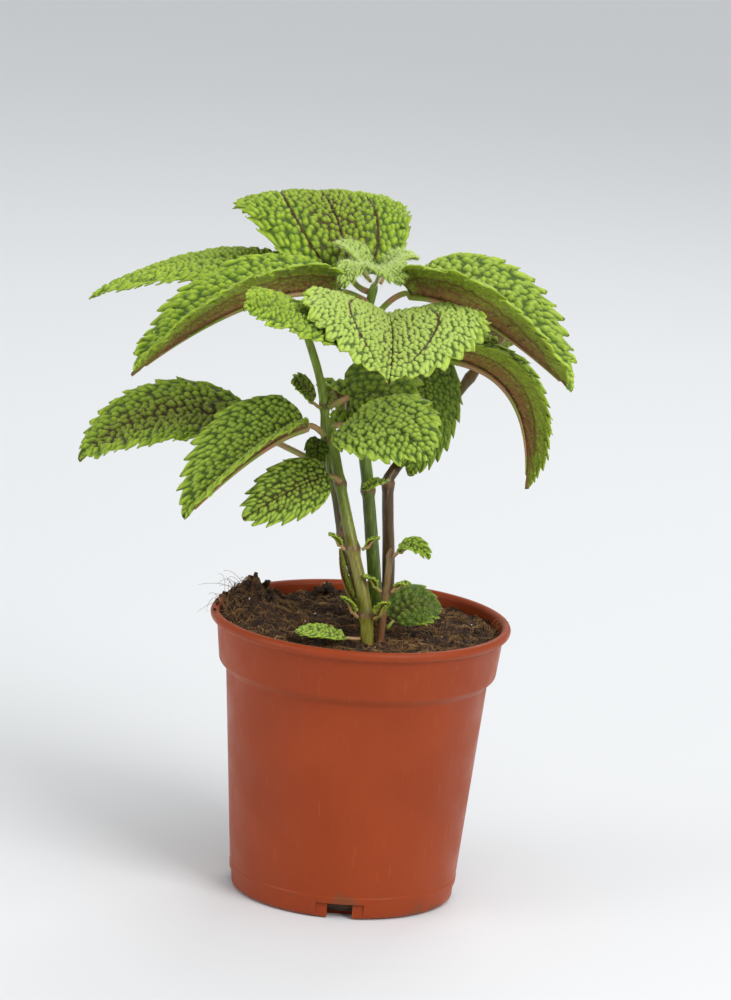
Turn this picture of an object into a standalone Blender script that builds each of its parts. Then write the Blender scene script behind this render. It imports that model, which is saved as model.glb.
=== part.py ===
"""A friendship plant with quilted, toothed leaves in its 12 cm plastic nursery pot.

The pot stands on the plane z = 0 with the centre of its flat foot at the origin. +X is to the
right and +Y to the back of the plant, seen from its best side. Lengths are in millimetres.
"""
import math

import bpy
from mathutils import Vector, noise

for old in list(bpy.data.objects):
    bpy.data.objects.remove(old, do_unlink=True)

MM = 0.001
GAP = 0.4

# Pot: a 12 cm nursery pot with a rolled lip, a collar and a plain tapering body
POT_HEIGHT = 113.0
LIP_RADIUS = 60.0
LIP_DEPTH = 3.0
LIP_ROUND = 0.8
LIP_UNDERCUT = 1.0
COLLAR_TOP_RADIUS = 57.2
COLLAR_FOOT_RADIUS = 55.3
COLLAR_FOOT_HEIGHT = 92.5
COLLAR_INNER_RADIUS = 56.2
COLLAR_INNER_HEIGHT = 104.0
BODY_TOP_RADIUS = 52.3
BODY_TOP_HEIGHT = 89.5
BODY_FOOT_RADIUS = 45.2
BODY_FOOT_HEIGHT = 3.0
FOOT_BEND_RADIUS = 44.0
FOOT_BEND_HEIGHT = 0.9
FOOT_FLAT_RADIUS = 41.5
WALL = 1.3
FLOOR = 1.8
FLOOR_FILLET = 2.5
POT_SIDES = 48

# Drainage slots through the pot's bottom edge, each in a shallow frame
SLOT_COUNT = 4
SLOT_WIDTH = 10.0
SLOT_BOTTOM = -1.0
SLOT_TOP = 5.4
SLOT_DEPTH = 9.0
FRAME_WIDTH = 19.0
FRAME_TOP = 6.6
FRAME_SINK = 0.5
CUTTER_MARGIN = 6.0

# Soil: its surface near the wall, the mound at its middle and the clump at the left of the lip
SOIL_EDGE_HEIGHT = 108.0
SOIL_SPREAD = 55.0
SOIL_MOUND = 1.5
SOIL_CLUMP = 6.0
CLUMP_X = -44.0
CLUMP_Y = 8.0
CLUMP_ACROSS = 16.0
CLUMP_ALONG = 26.0
CRUMB_RISE = 1.1
CRUMB_SIZE = 7.0
SOIL_SECTORS = 36
SOIL_RINGS = 7
SOIL_SLACK = 0.3

# Stems: sides of the tube, spacing of its rings, how far a joint swells and how deep it is set
STEM_SIDES = 8
STEM_STEP = 9.0
JOINT_SWELL = 1.3
JOINT_HALF = 3.6
STEM_FOOT = 94.0
HOLE_STEP = 8.0

# Leaves: the blade's thickness, quilting and teeth, its outline and the layout of its mesh
BLADE = 0.8
QUILT = 0.65
QUILT_SHARE = 0.008
SEAM = 0.35
TOOTH = 0.055
TOOTH_LEAN = 0.65
LEAF_ROWS = 11
LEAF_COLUMNS = 3
SMALL_ROWS = 5
SMALL_COLUMNS = 2
VEIN_SLANT = 0.13
BASE_LOBE = 0.04
LOBE_REACH = 0.08
OUTLINE_BASE = 0.5
OUTLINE_TIP = 1.1

# Stalks: their gap to the stem, thickness, and how they bend from the stem into the blade
LEAF_GAP = 0.45
STALK_RADIUS = 1.2
SMALL_STALK_RADIUS = 0.7
STALK_AIM = 0.45
STALK_BEND = 0.4
STALK_END = 1.2
STALK_DROP = -1.0
STALK_RISE = 1.5
LONG_STALK = 10.0


def material(name, colour, roughness):
    """A plain surface in one colour."""
    made = bpy.data.materials.new(name)
    made.use_nodes = True
    shader = made.node_tree.nodes["Principled BSDF"]
    shader.inputs["Base Color"].default_value = (*colour, 1.0)
    shader.inputs["Roughness"].default_value = roughness
    shader.inputs["Metallic"].default_value = 0.0
    return made


POT_PLASTIC = material("pot_plastic", (0.42, 0.10, 0.035), 0.45)
PEAT = material("peat", (0.055, 0.030, 0.018), 0.95)
STEM_GREEN = material("stem_green", (0.17, 0.25, 0.04), 0.5)
STEM_BROWN = material("stem_brown", (0.14, 0.085, 0.035), 0.5)
LEAF_GREEN = material("leaf_green", (0.16, 0.32, 0.05), 0.6)
LEAF_YOUNG = material("leaf_young", (0.38, 0.52, 0.27), 0.7)


def mesh_object(name, points, faces, look, smooth=False):
    """One closed body from points in millimetres."""
    mesh = bpy.data.meshes.new(name)
    mesh.from_pydata([Vector(p) * MM for p in points], [], faces)
    mesh.update()
    if smooth:
        mesh.shade_smooth()
    made = bpy.data.objects.new(name, mesh)
    made.data.materials.append(look)
    bpy.context.scene.collection.objects.link(made)
    return made


def loft(rings, closed_ends=True):
    """Points and faces of a tube through rings of equal length, with flat ends."""
    sides = len(rings[0])
    points = [p for ring in rings for p in ring]
    faces = []
    for r in range(len(rings) - 1):
        for s in range(sides):
            a = r * sides + s
            b = r * sides + (s + 1) % sides
            faces.append((a, b, b + sides, a + sides))
    if closed_ends:
        faces.append(tuple(reversed(range(sides))))
        last = (len(rings) - 1) * sides
        faces.append(tuple(last + s for s in range(sides)))
    return points, faces


def turned(profile, sides):
    """Points and faces of a body turned about Z, from the axis below round to the axis above."""
    inner = profile[1:-1]
    points = [(0.0, 0.0, profile[0][1])]
    for radius, height in inner:
        for s in range(sides):
            angle = 2.0 * math.pi * s / sides
            points.append((radius * math.cos(angle), radius * math.sin(angle), height))
    points.append((0.0, 0.0, profile[-1][1]))
    faces = []
    for s in range(sides):
        after = (s + 1) % sides
        faces.append((0, 1 + after, 1 + s))
        for r in range(len(inner) - 1):
            a = 1 + r * sides + s
            b = 1 + r * sides + after
            faces.append((a, b, b + sides, a + sides))
        top = 1 + (len(inner) - 1) * sides
        faces.append((top + s, top + after, len(points) - 1))
    return points, faces


def cut(body, cutter):
    """Subtract a hidden cutter from a body."""
    cutter.hide_render = True
    cutter.display_type = "WIRE"
    tool = body.modifiers.new("cut_" + cutter.name, "BOOLEAN")
    tool.operation = "DIFFERENCE"
    tool.solver = "EXACT"
    tool.object = cutter


def inner_radius(height):
    """Radius of the pot's inner wall below its lip."""
    if height < BODY_TOP_HEIGHT:
        share = (height - BODY_FOOT_HEIGHT) / (BODY_TOP_HEIGHT - BODY_FOOT_HEIGHT)
        return BODY_FOOT_RADIUS + (BODY_TOP_RADIUS - BODY_FOOT_RADIUS) * share - WALL
    share = (height - BODY_TOP_HEIGHT) / (COLLAR_INNER_HEIGHT - BODY_TOP_HEIGHT)
    widening = COLLAR_INNER_RADIUS - BODY_TOP_RADIUS + WALL
    return BODY_TOP_RADIUS - WALL + widening * min(1.0, share)


def slot_boxes(name, width, top, near, far):
    """One box for each drainage slot, between two distances from the pot's axis."""
    points = []
    faces = []
    for k in range(SLOT_COUNT):
        angle = 2.0 * math.pi * k / SLOT_COUNT
        out = Vector((math.cos(angle), math.sin(angle), 0.0))
        side = Vector((-math.sin(angle), math.cos(angle), 0.0)) * (width / 2)
        first = len(points)
        for height in (SLOT_BOTTOM, top):
            for corner in (out * near - side, out * far - side, out * far + side, out * near + side):
                points.append((corner.x, corner.y, height))
        box = ((3, 2, 1, 0), (4, 5, 6, 7), (0, 1, 5, 4), (1, 2, 6, 5), (2, 3, 7, 6), (3, 0, 4, 7))
        for corners in box:
            faces.append(tuple(first + c for c in corners))
    return mesh_object(name, points, faces, POT_PLASTIC)


def make_pot():
    """The moulded pot: one turned shell with drainage slots at its bottom edge."""
    outer = [
        (0.0, 0.0),
        (FOOT_FLAT_RADIUS, 0.0),
        (FOOT_BEND_RADIUS, FOOT_BEND_HEIGHT),
        (BODY_FOOT_RADIUS, BODY_FOOT_HEIGHT),
        (BODY_TOP_RADIUS, BODY_TOP_HEIGHT),
        (COLLAR_FOOT_RADIUS, COLLAR_FOOT_HEIGHT),
        (COLLAR_TOP_RADIUS, POT_HEIGHT - LIP_DEPTH - LIP_UNDERCUT),
        (LIP_RADIUS - LIP_ROUND, POT_HEIGHT - LIP_DEPTH),
        (LIP_RADIUS, POT_HEIGHT - LIP_DEPTH / 2),
        (LIP_RADIUS - LIP_ROUND, POT_HEIGHT),
    ]
    inside = [
        (COLLAR_TOP_RADIUS, POT_HEIGHT),
        (COLLAR_INNER_RADIUS, POT_HEIGHT - WALL),
        (COLLAR_INNER_RADIUS, COLLAR_INNER_HEIGHT),
        (BODY_TOP_RADIUS - WALL, BODY_TOP_HEIGHT),
        (inner_radius(FLOOR + FLOOR_FILLET), FLOOR + FLOOR_FILLET),
        (inner_radius(FLOOR) - FLOOR_FILLET, FLOOR),
        (0.0, FLOOR),
    ]
    pot = mesh_object("pot", *turned(outer + inside, POT_SIDES), POT_PLASTIC, smooth=True)
    near = BODY_FOOT_RADIUS - SLOT_DEPTH
    far = BODY_FOOT_RADIUS + CUTTER_MARGIN
    cut(pot, slot_boxes("slot_cutter", SLOT_WIDTH, SLOT_TOP, near, far))
    face = math.sqrt(BODY_FOOT_RADIUS ** 2 - (FRAME_WIDTH / 2) ** 2)
    cut(pot, slot_boxes("frame_cutter", FRAME_WIDTH, FRAME_TOP, face - FRAME_SINK, far))


def smooth_course(course, step):
    """A rounded line through the course's points, at about the given spacing."""
    spots = [Vector(p) for p in course]
    padded = [spots[0] * 2 - spots[1]] + spots + [spots[-1] * 2 - spots[-2]]
    line = []
    for k in range(1, len(padded) - 2):
        before, start, end, after = padded[k - 1:k + 3]
        pieces = max(1, round((end - start).length / step))
        for i in range(pieces):
            t = i / pieces
            line.append(0.5 * (2 * start + (end - before) * t
                               + (2 * before - 5 * start + 4 * end - after) * t * t
                               + (3 * start - before - 3 * end + after) * t ** 3))
    line.append(spots[-1])
    return line


class Stem:
    """One stem: its axis, its taper and the heights of its swollen joints."""

    def __init__(self, name, course, thick, thin, joints, look):
        self.name = name
        self.axis = smooth_course(course, STEM_STEP)
        self.thick = thick
        self.thin = thin
        self.joints = joints
        self.look = look

    def spot(self, height):
        """Point and direction of the axis at a height."""
        low = self.axis[0]
        for high in self.axis[1:]:
            if high.z >= height:
                break
            low = high
        if high.z <= low.z:
            return high, (self.axis[-1] - self.axis[-2]).normalized()
        share = min(1.0, (height - low.z) / (high.z - low.z))
        return low.lerp(high, share), (high - low).normalized()

    def radius(self, height):
        """Half the stem's thickness at a height."""
        share = (height - self.axis[0].z) / (self.axis[-1].z - self.axis[0].z)
        radius = self.thick + (self.thin - self.thick) * max(0.0, min(1.0, share))
        for joint in self.joints:
            reach = abs(height - joint) / JOINT_HALF
            if reach < 1.0:
                radius *= 1.0 + (JOINT_SWELL - 1.0) * (1.0 - reach)
        return radius

    def rings(self, heights, spread=0.0):
        """Rings round the axis at the given heights."""
        made = []
        for height in heights:
            centre, along = self.spot(height)
            across = (Vector((1, 0, 0)) - along * along.x).normalized()
            behind = along.cross(across)
            radius = self.radius(height) + spread
            ring = []
            for s in range(STEM_SIDES):
                angle = 2.0 * math.pi * s / STEM_SIDES
                ring.append(centre + across * radius * math.cos(angle) + behind * radius * math.sin(angle))
            made.append(ring)
        return made

    def build(self):
        """The stem's own solid, with rings at every joint."""
        heights = {round(p.z, 2) for p in self.axis}
        for joint in self.joints:
            heights = {h for h in heights if abs(h - joint) > 1.25 * JOINT_HALF}
            heights |= {joint - JOINT_HALF, joint, joint + JOINT_HALF}
        inside = [h for h in sorted(heights) if self.axis[0].z <= h <= self.axis[-1].z]
        mesh_object(self.name, *loft(self.rings(inside)), self.look, smooth=True)

    def hole(self):
        """The cutter of the plain hole that it stands in."""
        low = self.axis[0].z
        rings = self.rings([low + HOLE_STEP * k for k in range(4)], GAP)
        rings[0] = [p - Vector((0, 0, GAP)) for p in rings[0]]
        return mesh_object(self.name + "_hole", *loft(rings), PEAT)


STEMS = {
    stem.name: stem
    for stem in (
        Stem("stem_front", [(3.5, -30, STEM_FOOT), (2, -28, 120), (-5, -22, 145), (-12, -14, 169),
                            (-16, -10, 185), (-18, -8, 194)], 2.8, 1.8, (120, 145, 169, 185), STEM_GREEN),
        Stem("stem_left", [(4, 1, STEM_FOOT), (2, 0, 113), (-9, -2, 144), (-13, -1, 160), (-19, 1, 183),
                           (-20.5, 2, 196), (-24, 3, 210), (-31, 4, 228)], 2.2, 1.6, (146, 196), STEM_BROWN),
        Stem("stem_middle", [(8, 8, STEM_FOOT), (6, 7, 114), (-1, 4, 164), (-3.5, 4, 180), (-7, 4, 219),
                             (-6.5, 4, 232), (-4, 4, 247)], 2.9, 1.8, (163, 218, 233), STEM_GREEN),
        Stem("stem_right", [(11, 17, STEM_FOOT), (9.5, 15, 130), (7, 12.5, 162), (8.5, 14, 169),
                            (17, 21, 180), (31, 30, 198), (50, 35, 226), (54, 36, 232)],
             2.7, 1.7, (164, 206), STEM_BROWN),
        Stem("stem_low", [(8.2, -25, STEM_FOOT), (8.2, -25, 110), (9, -25, 127), (9.7, -24.5, 147)],
             1.6, 1.2, (129, 144), STEM_BROWN),
    )
}


def soil_height(x, y):
    """Height of the soil's surface: a mound, a clump at the left and rough crumbs."""
    mound = SOIL_MOUND * math.cos(math.pi / 2 * min(1.0, math.hypot(x, y) / SOIL_SPREAD))
    beside = math.hypot((x - CLUMP_X) / CLUMP_ACROSS, (y - CLUMP_Y) / CLUMP_ALONG)
    clump = SOIL_CLUMP * math.exp(-beside * beside)
    crumbs = CRUMB_RISE * noise.noise(Vector((x, y, 0.0)) / CRUMB_SIZE)
    return SOIL_EDGE_HEIGHT + mound + clump + crumbs


def make_soil():
    """The root ball: it fills the pot and holds the stems in plain holes."""
    slack = GAP + SOIL_SLACK
    floor = FLOOR + GAP
    side = [
        (0.0, floor),
        (inner_radius(floor) - FLOOR_FILLET - slack, floor),
        (inner_radius(floor + FLOOR_FILLET) - slack, floor + FLOOR_FILLET),
        (BODY_TOP_RADIUS - WALL - slack, BODY_TOP_HEIGHT),
        (COLLAR_INNER_RADIUS - slack, COLLAR_INNER_HEIGHT),
    ]
    rim = COLLAR_INNER_RADIUS - slack
    top = [(rim * (1.0 - ring / SOIL_RINGS), SOIL_EDGE_HEIGHT) for ring in range(SOIL_RINGS)]
    points, faces = turned(side + top + [(0.0, SOIL_EDGE_HEIGHT)], SOIL_SECTORS)
    first_top = 1 + (len(side) - 1) * SOIL_SECTORS
    shaped = points[:first_top] + [(x, y, soil_height(x, y)) for x, y, z in points[first_top:]]
    soil = mesh_object("soil", shaped, faces, PEAT)
    for stem in STEMS.values():
        cut(soil, stem.hole())


def outline(t):
    """Half the blade's width at a share t of its length, as a share of its greatest."""
    widest = OUTLINE_BASE / (OUTLINE_BASE + OUTLINE_TIP)
    greatest = widest ** OUTLINE_BASE * (1 - widest) ** OUTLINE_TIP
    return t ** OUTLINE_BASE * (1 - t) ** OUTLINE_TIP / greatest


def ahead(t):
    """How far the margin lies before its vein's root: forwards, and back at the base's lobes."""
    lobe = (t - LOBE_REACH) / LOBE_REACH
    return VEIN_SLANT * math.sin(math.pi * t) - BASE_LOBE * math.exp(-lobe * lobe)


class Leaf:
    """One leaf: a quilted blade along an arched midrib, and the stalk that carries it."""

    def __init__(self, name, base, middle, tip, width, stem, height, roll=0.0, fold=10.0, curl=20.0,
                 small=False, look=LEAF_GREEN):
        self.name = name
        self.base = Vector(base)
        self.tip = Vector(tip)
        self.control = Vector(middle) * 2 - (self.base + self.tip) / 2
        self.half = width / 2
        self.stem = STEMS[stem]
        self.height = height
        self.roll = math.radians(roll)
        self.fold = math.radians(fold)
        self.curl = math.radians(curl)
        self.rows = SMALL_ROWS if small else LEAF_ROWS
        self.columns = SMALL_COLUMNS if small else LEAF_COLUMNS
        self.stalk = SMALL_STALK_RADIUS if small else STALK_RADIUS
        self.look = look
        self.level = (self.tip - self.base).cross(Vector((0, 0, 1))).normalized()

    def frame(self, t):
        """Point of the midrib at t, with the directions along, across and out of the upper face."""
        t = max(0.0, min(1.0, t))
        point = self.base * (1 - t) ** 2 + self.control * 2 * t * (1 - t) + self.tip * t * t
        along = ((self.control - self.base) * (1 - t) + (self.tip - self.control) * t).normalized()
        out = self.level.cross(along).normalized()
        across = along.cross(out)
        upper = out * math.cos(self.roll) + across * math.sin(self.roll)
        return point, along, along.cross(upper), upper

    def spot(self, t, side, reach):
        """Point of the blade: on the vein from t, at a share of its way to one margin."""
        half = max(self.half * outline(t), 0.9 * self.stalk)
        point, along, across, upper = self.frame(t + ahead(t) * reach)
        if self.curl == 0.0:
            sideways = reach * math.cos(self.fold)
            upwards = reach * math.sin(self.fold)
        else:
            angle = self.fold - self.curl * reach
            sideways = (math.sin(self.fold) - math.sin(angle)) / self.curl
            upwards = (math.cos(angle) - math.cos(self.fold)) / self.curl
        return point + across * (side * half * sideways) + upper * (half * upwards)

    def quilted(self, i, j):
        """Point of the blade's net: raised and sunk in turn between the midrib and the margins."""
        t = i / self.rows
        reach = abs(j) / self.columns
        if i == 0:
            return self.spot(t, math.copysign(1, j), reach)
        if abs(j) == self.columns:
            return self.spot(t, math.copysign(1, j), reach - TOOTH)
        length = (self.control - self.base).length + (self.tip - self.control).length
        rise = min(QUILT, length * QUILT_SHARE) * (1 if (i + j) % 2 else -1)
        if j == 0:
            rise = -SEAM
        return self.spot(t, math.copysign(1, j), reach) + self.frame(t)[3] * rise

    def sheet(self):
        """The blade's middle surface: points, triangles, the margin and the row at the stalk."""
        n = self.columns
        last = self.rows - 1
        grid = {(i, j): i * (2 * n + 1) + j + n for i in range(self.rows) for j in range(-n, n + 1)}
        points = [self.quilted(i, j) for i, j in grid]
        teeth = {}
        for i in range(1, last):
            for side in (-1, 1):
                teeth[i, side] = len(points)
                points.append(self.spot((i + TOOTH_LEAN) / self.rows, side, 1.0 + TOOTH))
        tip = len(points)
        points.append(self.tip.copy())
        faces = []
        for i in range(last):
            inner = range(-n, n) if i == 0 else range(1 - n, n - 1)
            for j in inner:
                a, b, c, d = grid[i, j], grid[i, j + 1], grid[i + 1, j + 1], grid[i + 1, j]
                if (i + j) % 2:
                    faces += [(a, b, c), (a, c, d)]
                else:
                    faces += [(a, b, d), (b, c, d)]
            if i > 0:
                left, right = teeth[i, -1], teeth[i, 1]
                a, b, c, d = grid[i, -n], grid[i, 1 - n], grid[i + 1, 1 - n], grid[i + 1, -n]
                faces += [(a, b, left), (left, b, c), (left, c, d)]
                a, b, c, d = grid[i, n - 1], grid[i, n], grid[i + 1, n], grid[i + 1, n - 1]
                faces += [(a, b, right), (a, right, d), (d, right, c)]
        for j in range(-n, n):
            faces.append((grid[last, j], grid[last, j + 1], tip))
        margin = []
        for i in range(self.rows):
            margin += [grid[i, -n]] + ([teeth[i, -1]] if 0 < i < last else [])
        margin.append(tip)
        for i in reversed(range(self.rows)):
            margin += ([teeth[i, 1]] if 0 < i < last else []) + [grid[i, n]]
        root = [grid[0, j] for j in range(-n, n + 1)]
        return points, faces, margin, root

    def stalk_rings(self):
        """Rings of the stalk, from just off the stem to just under the blade."""
        point, along, across, upper = self.frame(0.0)
        origin, up_stem = self.stem.spot(self.height)
        aim = point - along * (STALK_AIM * (point - origin).length) - origin
        out = (aim - up_stem * aim.dot(up_stem)).normalized()
        start = aim.normalized()
        lean = start.dot(up_stem)
        clear = self.stem.radius(self.height) + LEAF_GAP + self.stalk * abs(lean)
        rise = clear * lean / max(0.3, start.dot(out))
        foot = origin + out * clear + up_stem * max(STALK_DROP, min(STALK_RISE, rise))
        end = point - along * min(STALK_END, 0.25 * (point - foot).length)
        bend = end - along * (STALK_BEND * (end - foot).length)
        count = 4 if (end - foot).length > LONG_STALK else 3
        half = 2 * self.columns + 1
        rings = []
        for k in range(count):
            t = k / (count - 1)
            centre = foot * (1 - t) ** 2 + bend * 2 * t * (1 - t) + end * t * t
            forwards = ((bend - foot) * (1 - t) + (end - bend) * t).normalized()
            sideways = (across - forwards * across.dot(forwards)).normalized()
            top = sideways.cross(forwards)
            ring = []
            for s in range(2 * half):
                angle = math.pi * (1.0 - (s + 0.5) / half)
                ring.append(centre + (sideways * math.cos(angle) + top * math.sin(angle)) * self.stalk)
            rings.append(ring)
        return rings

    def build(self):
        """The leaf's own solid: stalk and blade in one closed skin."""
        middle, triangles, margin, root = self.sheet()
        normals = [Vector() for _ in middle]
        for a, b, c in triangles:
            turn = (middle[b] - middle[a]).cross(middle[c] - middle[a])
            for k in (a, b, c):
                normals[k] += turn
        for k in root:
            normals[k] = self.frame(0.0)[3]
        lift = [n.normalized() * (BLADE / 2) for n in normals]
        count = len(middle)
        points = [p + n for p, n in zip(middle, lift)] + [p - n for p, n in zip(middle, lift)]
        faces = list(triangles) + [(c + count, b + count, a + count) for a, b, c in triangles]
        for a, b in zip(margin, margin[1:]):
            faces += [(a, b, b + count), (a, b + count, a + count)]
        rings = self.stalk_rings()
        first = len(points)
        stalk_points, stalk_faces = loft(rings, closed_ends=False)
        points += stalk_points
        faces += [tuple(first + k for k in face) for face in stalk_faces]
        sides = len(rings[0])
        faces.append(tuple(first + k for k in reversed(range(sides))))
        last = first + (len(rings) - 1) * sides
        loop = root + [k + count for k in reversed(root)]
        for s in range(sides):
            after = (s + 1) % sides
            faces += [(last + s, last + after, loop[after]), (last + s, loop[after], loop[s])]
        mesh_object(self.name, points, faces, self.look)


# Large leaves, each by its midrib's base, middle and tip
LEAVES = [
    Leaf("leaf_top_back", (-14, 18, 247), (-28, 50, 272), (-40, 83, 250), 72, "stem_middle", 243,
         roll=0, fold=6, curl=25),
    Leaf("leaf_far_left", (-26, 26, 239), (-68, 42, 244), (-119, 48, 224), 42, "stem_middle", 233,
         roll=-8, fold=5, curl=20),
    Leaf("leaf_left", (-18, -4, 244), (-54, -16, 238), (-96, -32, 210), 52, "stem_middle", 238,
         roll=5, fold=40, curl=20),
    Leaf("leaf_right", (10, -3, 245), (39, -13, 239), (76, -20, 214), 62, "stem_middle", 233,
         roll=-1, fold=44, curl=20),
    Leaf("leaf_front_left", (-14, -22, 230), (-33, -57, 243), (-53, -72, 247), 40, "stem_middle", 224,
         roll=-22, fold=5, curl=15),
    Leaf("leaf_front", (1, -16, 238), (4, -50, 236), (4, -76, 223), 74, "stem_middle", 228,
         roll=-4, fold=24, curl=18),
    Leaf("leaf_mid_left", (-49, 26, 179), (-84, 24, 182), (-117, 16, 164), 50, "stem_left", 171,
         roll=-16, fold=12, curl=10),
    Leaf("leaf_low_left", (-27, -13, 191), (-47, -20, 179), (-72, -30, 154), 48, "stem_front", 186,
         roll=-8, fold=38, curl=15),
    Leaf("leaf_hanging_left", (-17, -20, 173), (-31, -24, 167), (-49, -28, 155), 25, "stem_front", 168,
         roll=-50, fold=8, curl=15),
    Leaf("leaf_centre_front", (-12, -18, 194), (5, -34, 198), (22, -44, 188), 42, "stem_front", 191,
         roll=26, fold=4, curl=12),
    Leaf("leaf_centre", (-11, -5, 202), (1, -8, 205), (16, -9, 201), 34, "stem_left", 195,
         roll=62, fold=8, curl=12),
    Leaf("leaf_centre_dark", (11, 22, 222), (19, 15, 198), (15, 8, 169), 32, "stem_middle", 217,
         roll=0, fold=5, curl=30),
    Leaf("leaf_drooping", (28, 10, 218), (54, 6, 204), (62, 10, 167), 30, "stem_right", 214,
         roll=0, fold=50, curl=0),
    Leaf("leaf_behind_centre", (-9, 10, 200), (-12, 34, 198), (-12, 58, 180), 24, "stem_middle", 197,
         roll=0, fold=12, curl=20),
    Leaf("leaf_behind_right", (54, 41, 224), (52, 60, 221), (46, 80, 208), 30, "stem_right", 226,
         roll=0, fold=12, curl=20),
    Leaf("leaf_behind_low", (-4, 11, 183), (-3, 34, 186), (0, 56, 174), 30, "stem_middle", 181,
         roll=0, fold=12, curl=20),
]

# Young leaves that open in the crown
LEAVES += [
    Leaf("young_front", (-2.5, -5, 252), (0.5, -13, 255), (6, -21, 251), 16, "stem_middle", 245,
         roll=8, fold=18, curl=10, small=True, look=LEAF_YOUNG),
    Leaf("young_left", (-10, -4, 253), (-13, -12, 255), (-16, -20, 248), 12, "stem_middle", 246,
         roll=0, fold=15, curl=10, small=True, look=LEAF_YOUNG),
    Leaf("young_back_left", (-8, 7, 250), (-13, 9, 257), (-21, 11, 260), 19, "stem_middle", 246,
         roll=0, fold=15, curl=10, small=True, look=LEAF_YOUNG),
    Leaf("young_back_right", (0, 7, 250), (5, 9, 256), (12, 11, 256), 18, "stem_middle", 245,
         roll=0, fold=15, curl=10, small=True, look=LEAF_YOUNG),
]

# Small leaves at the stems' joints and close to the soil
LEAVES += [
    Leaf("small_upper_left", (-25, -4, 199), (-29, -6, 204), (-34, -9, 207), 13, "stem_left", 196,
         roll=-40, fold=15, curl=10, small=True),
    Leaf("small_below_joint", (-21, -5, 184), (-22, -8, 181), (-21, -9, 174), 10, "stem_left", 181,
         roll=0, fold=10, curl=10, small=True),
    Leaf("small_low_right", (13, -28, 147), (18, -31, 150), (25, -34, 146), 10, "stem_low", 143,
         roll=20, fold=20, curl=10, small=True),
    Leaf("small_on_soil_right", (13, -23, 118), (21, -19, 124), (31, -14, 121), 22, "stem_low", 113,
         roll=35, fold=5, curl=15, small=True),
    Leaf("small_behind_stems", (0, 8, 114), (-7, 8, 124), (-10, 7, 138), 13, "stem_middle", 112,
         roll=0, fold=15, curl=10, small=True),
    Leaf("small_on_soil_left", (-6, -33, 112), (-15, -35, 114), (-25, -36, 113), 13, "stem_front", 112,
         roll=-10, fold=5, curl=10, small=True),
    Leaf("small_upper_right", (44, 27, 221), (41, 26, 223), (37, 24, 217), 14, "stem_right", 219,
         roll=0, fold=20, curl=10, small=True),
    Leaf("tuft_front_left", (-10, -24, 147), (-12, -25, 150), (-15, -26, 151), 6, "stem_front", 145,
         roll=0, fold=10, curl=20, small=True),
    Leaf("tuft_front_right", (0, -24, 147), (2, -25, 150), (5, -26, 151), 6, "stem_front", 145,
         roll=0, fold=10, curl=20, small=True),
    Leaf("tuft_foot_left", (-3, -31, 122), (-5, -32, 126), (-8, -34, 128), 7, "stem_front", 120,
         roll=0, fold=10, curl=20, small=True),
    Leaf("tuft_foot_right", (7, -33, 122), (8, -35, 126), (10, -37, 128), 7, "stem_front", 120,
         roll=0, fold=10, curl=20, small=True),
    Leaf("tuft_low_left", (5, -27, 132), (3, -28, 135), (0, -30, 136), 6, "stem_low", 129,
         small=True),
    Leaf("tuft_low_right", (13, -27, 132), (15, -28, 134), (18, -30, 134), 6, "stem_low", 129,
         small=True),
    Leaf("bract_right", (5, 6, 167), (2, -2, 168), (-3, -4, 165), 7, "stem_right", 164,
         roll=0, fold=10, curl=20, small=True),
]


for leaf in LEAVES:
    leaf.build()
for stem in STEMS.values():
    stem.build()
make_soil()
make_pot()
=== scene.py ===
"""A friendship plant in its nursery pot: the finish of every piece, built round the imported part.

Lengths in the sections below are in millimetres and become metres as each mesh is made. The pot
stands on z = 0 with its foot's centre at the origin, +X to the right and +Y to the back.
"""

import math
import random

import bmesh
import bpy
from mathutils import Matrix, Vector, noise


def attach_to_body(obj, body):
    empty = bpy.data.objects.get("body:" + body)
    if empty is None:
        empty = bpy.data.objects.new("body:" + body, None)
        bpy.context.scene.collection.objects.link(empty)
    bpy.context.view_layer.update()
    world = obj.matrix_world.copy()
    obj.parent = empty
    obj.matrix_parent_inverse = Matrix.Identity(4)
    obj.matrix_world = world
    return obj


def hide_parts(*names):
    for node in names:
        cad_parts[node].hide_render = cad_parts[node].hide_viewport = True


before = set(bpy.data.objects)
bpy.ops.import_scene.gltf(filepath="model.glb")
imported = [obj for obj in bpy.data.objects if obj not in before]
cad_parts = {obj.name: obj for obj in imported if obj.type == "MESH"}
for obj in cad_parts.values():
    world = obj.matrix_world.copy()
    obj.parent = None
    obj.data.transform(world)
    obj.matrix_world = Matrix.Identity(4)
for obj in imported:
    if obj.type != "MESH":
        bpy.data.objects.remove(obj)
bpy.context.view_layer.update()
MM = 0.001

# The studio: a wide pale matt floor under an even sky, a soft light from above, and soft square lamps
# at the left, the right and behind. The camera stands two metres away, a little above the pot and
# rolled slightly, as the photograph was taken. Distances in this section are in metres.
CAMERA_DISTANCE = 2.0
CAMERA_ELEVATION = math.radians(12.8)
CAMERA_ROLL = math.radians(4.2)
CAMERA_AIM = Vector((-0.0016, 0.0, 0.160))
CAMERA_LENS = 121.2
CAMERA_SENSOR = 24.0
FLOOR_HALF = 30.0
FLOOR_COLOUR = (0.70, 0.71, 0.72)
SKY_COLOUR = (0.95, 0.98, 1.0)
SKY_STRENGTH = 0.45
ABOVE_STRENGTH = 1.1
ABOVE_SPREAD = math.radians(60.0)
ABOVE_TILT = (math.radians(18.0), math.radians(12.0), 0.0)
LAMP_AIM = Vector((0.0, 0.0, 0.16))


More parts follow.
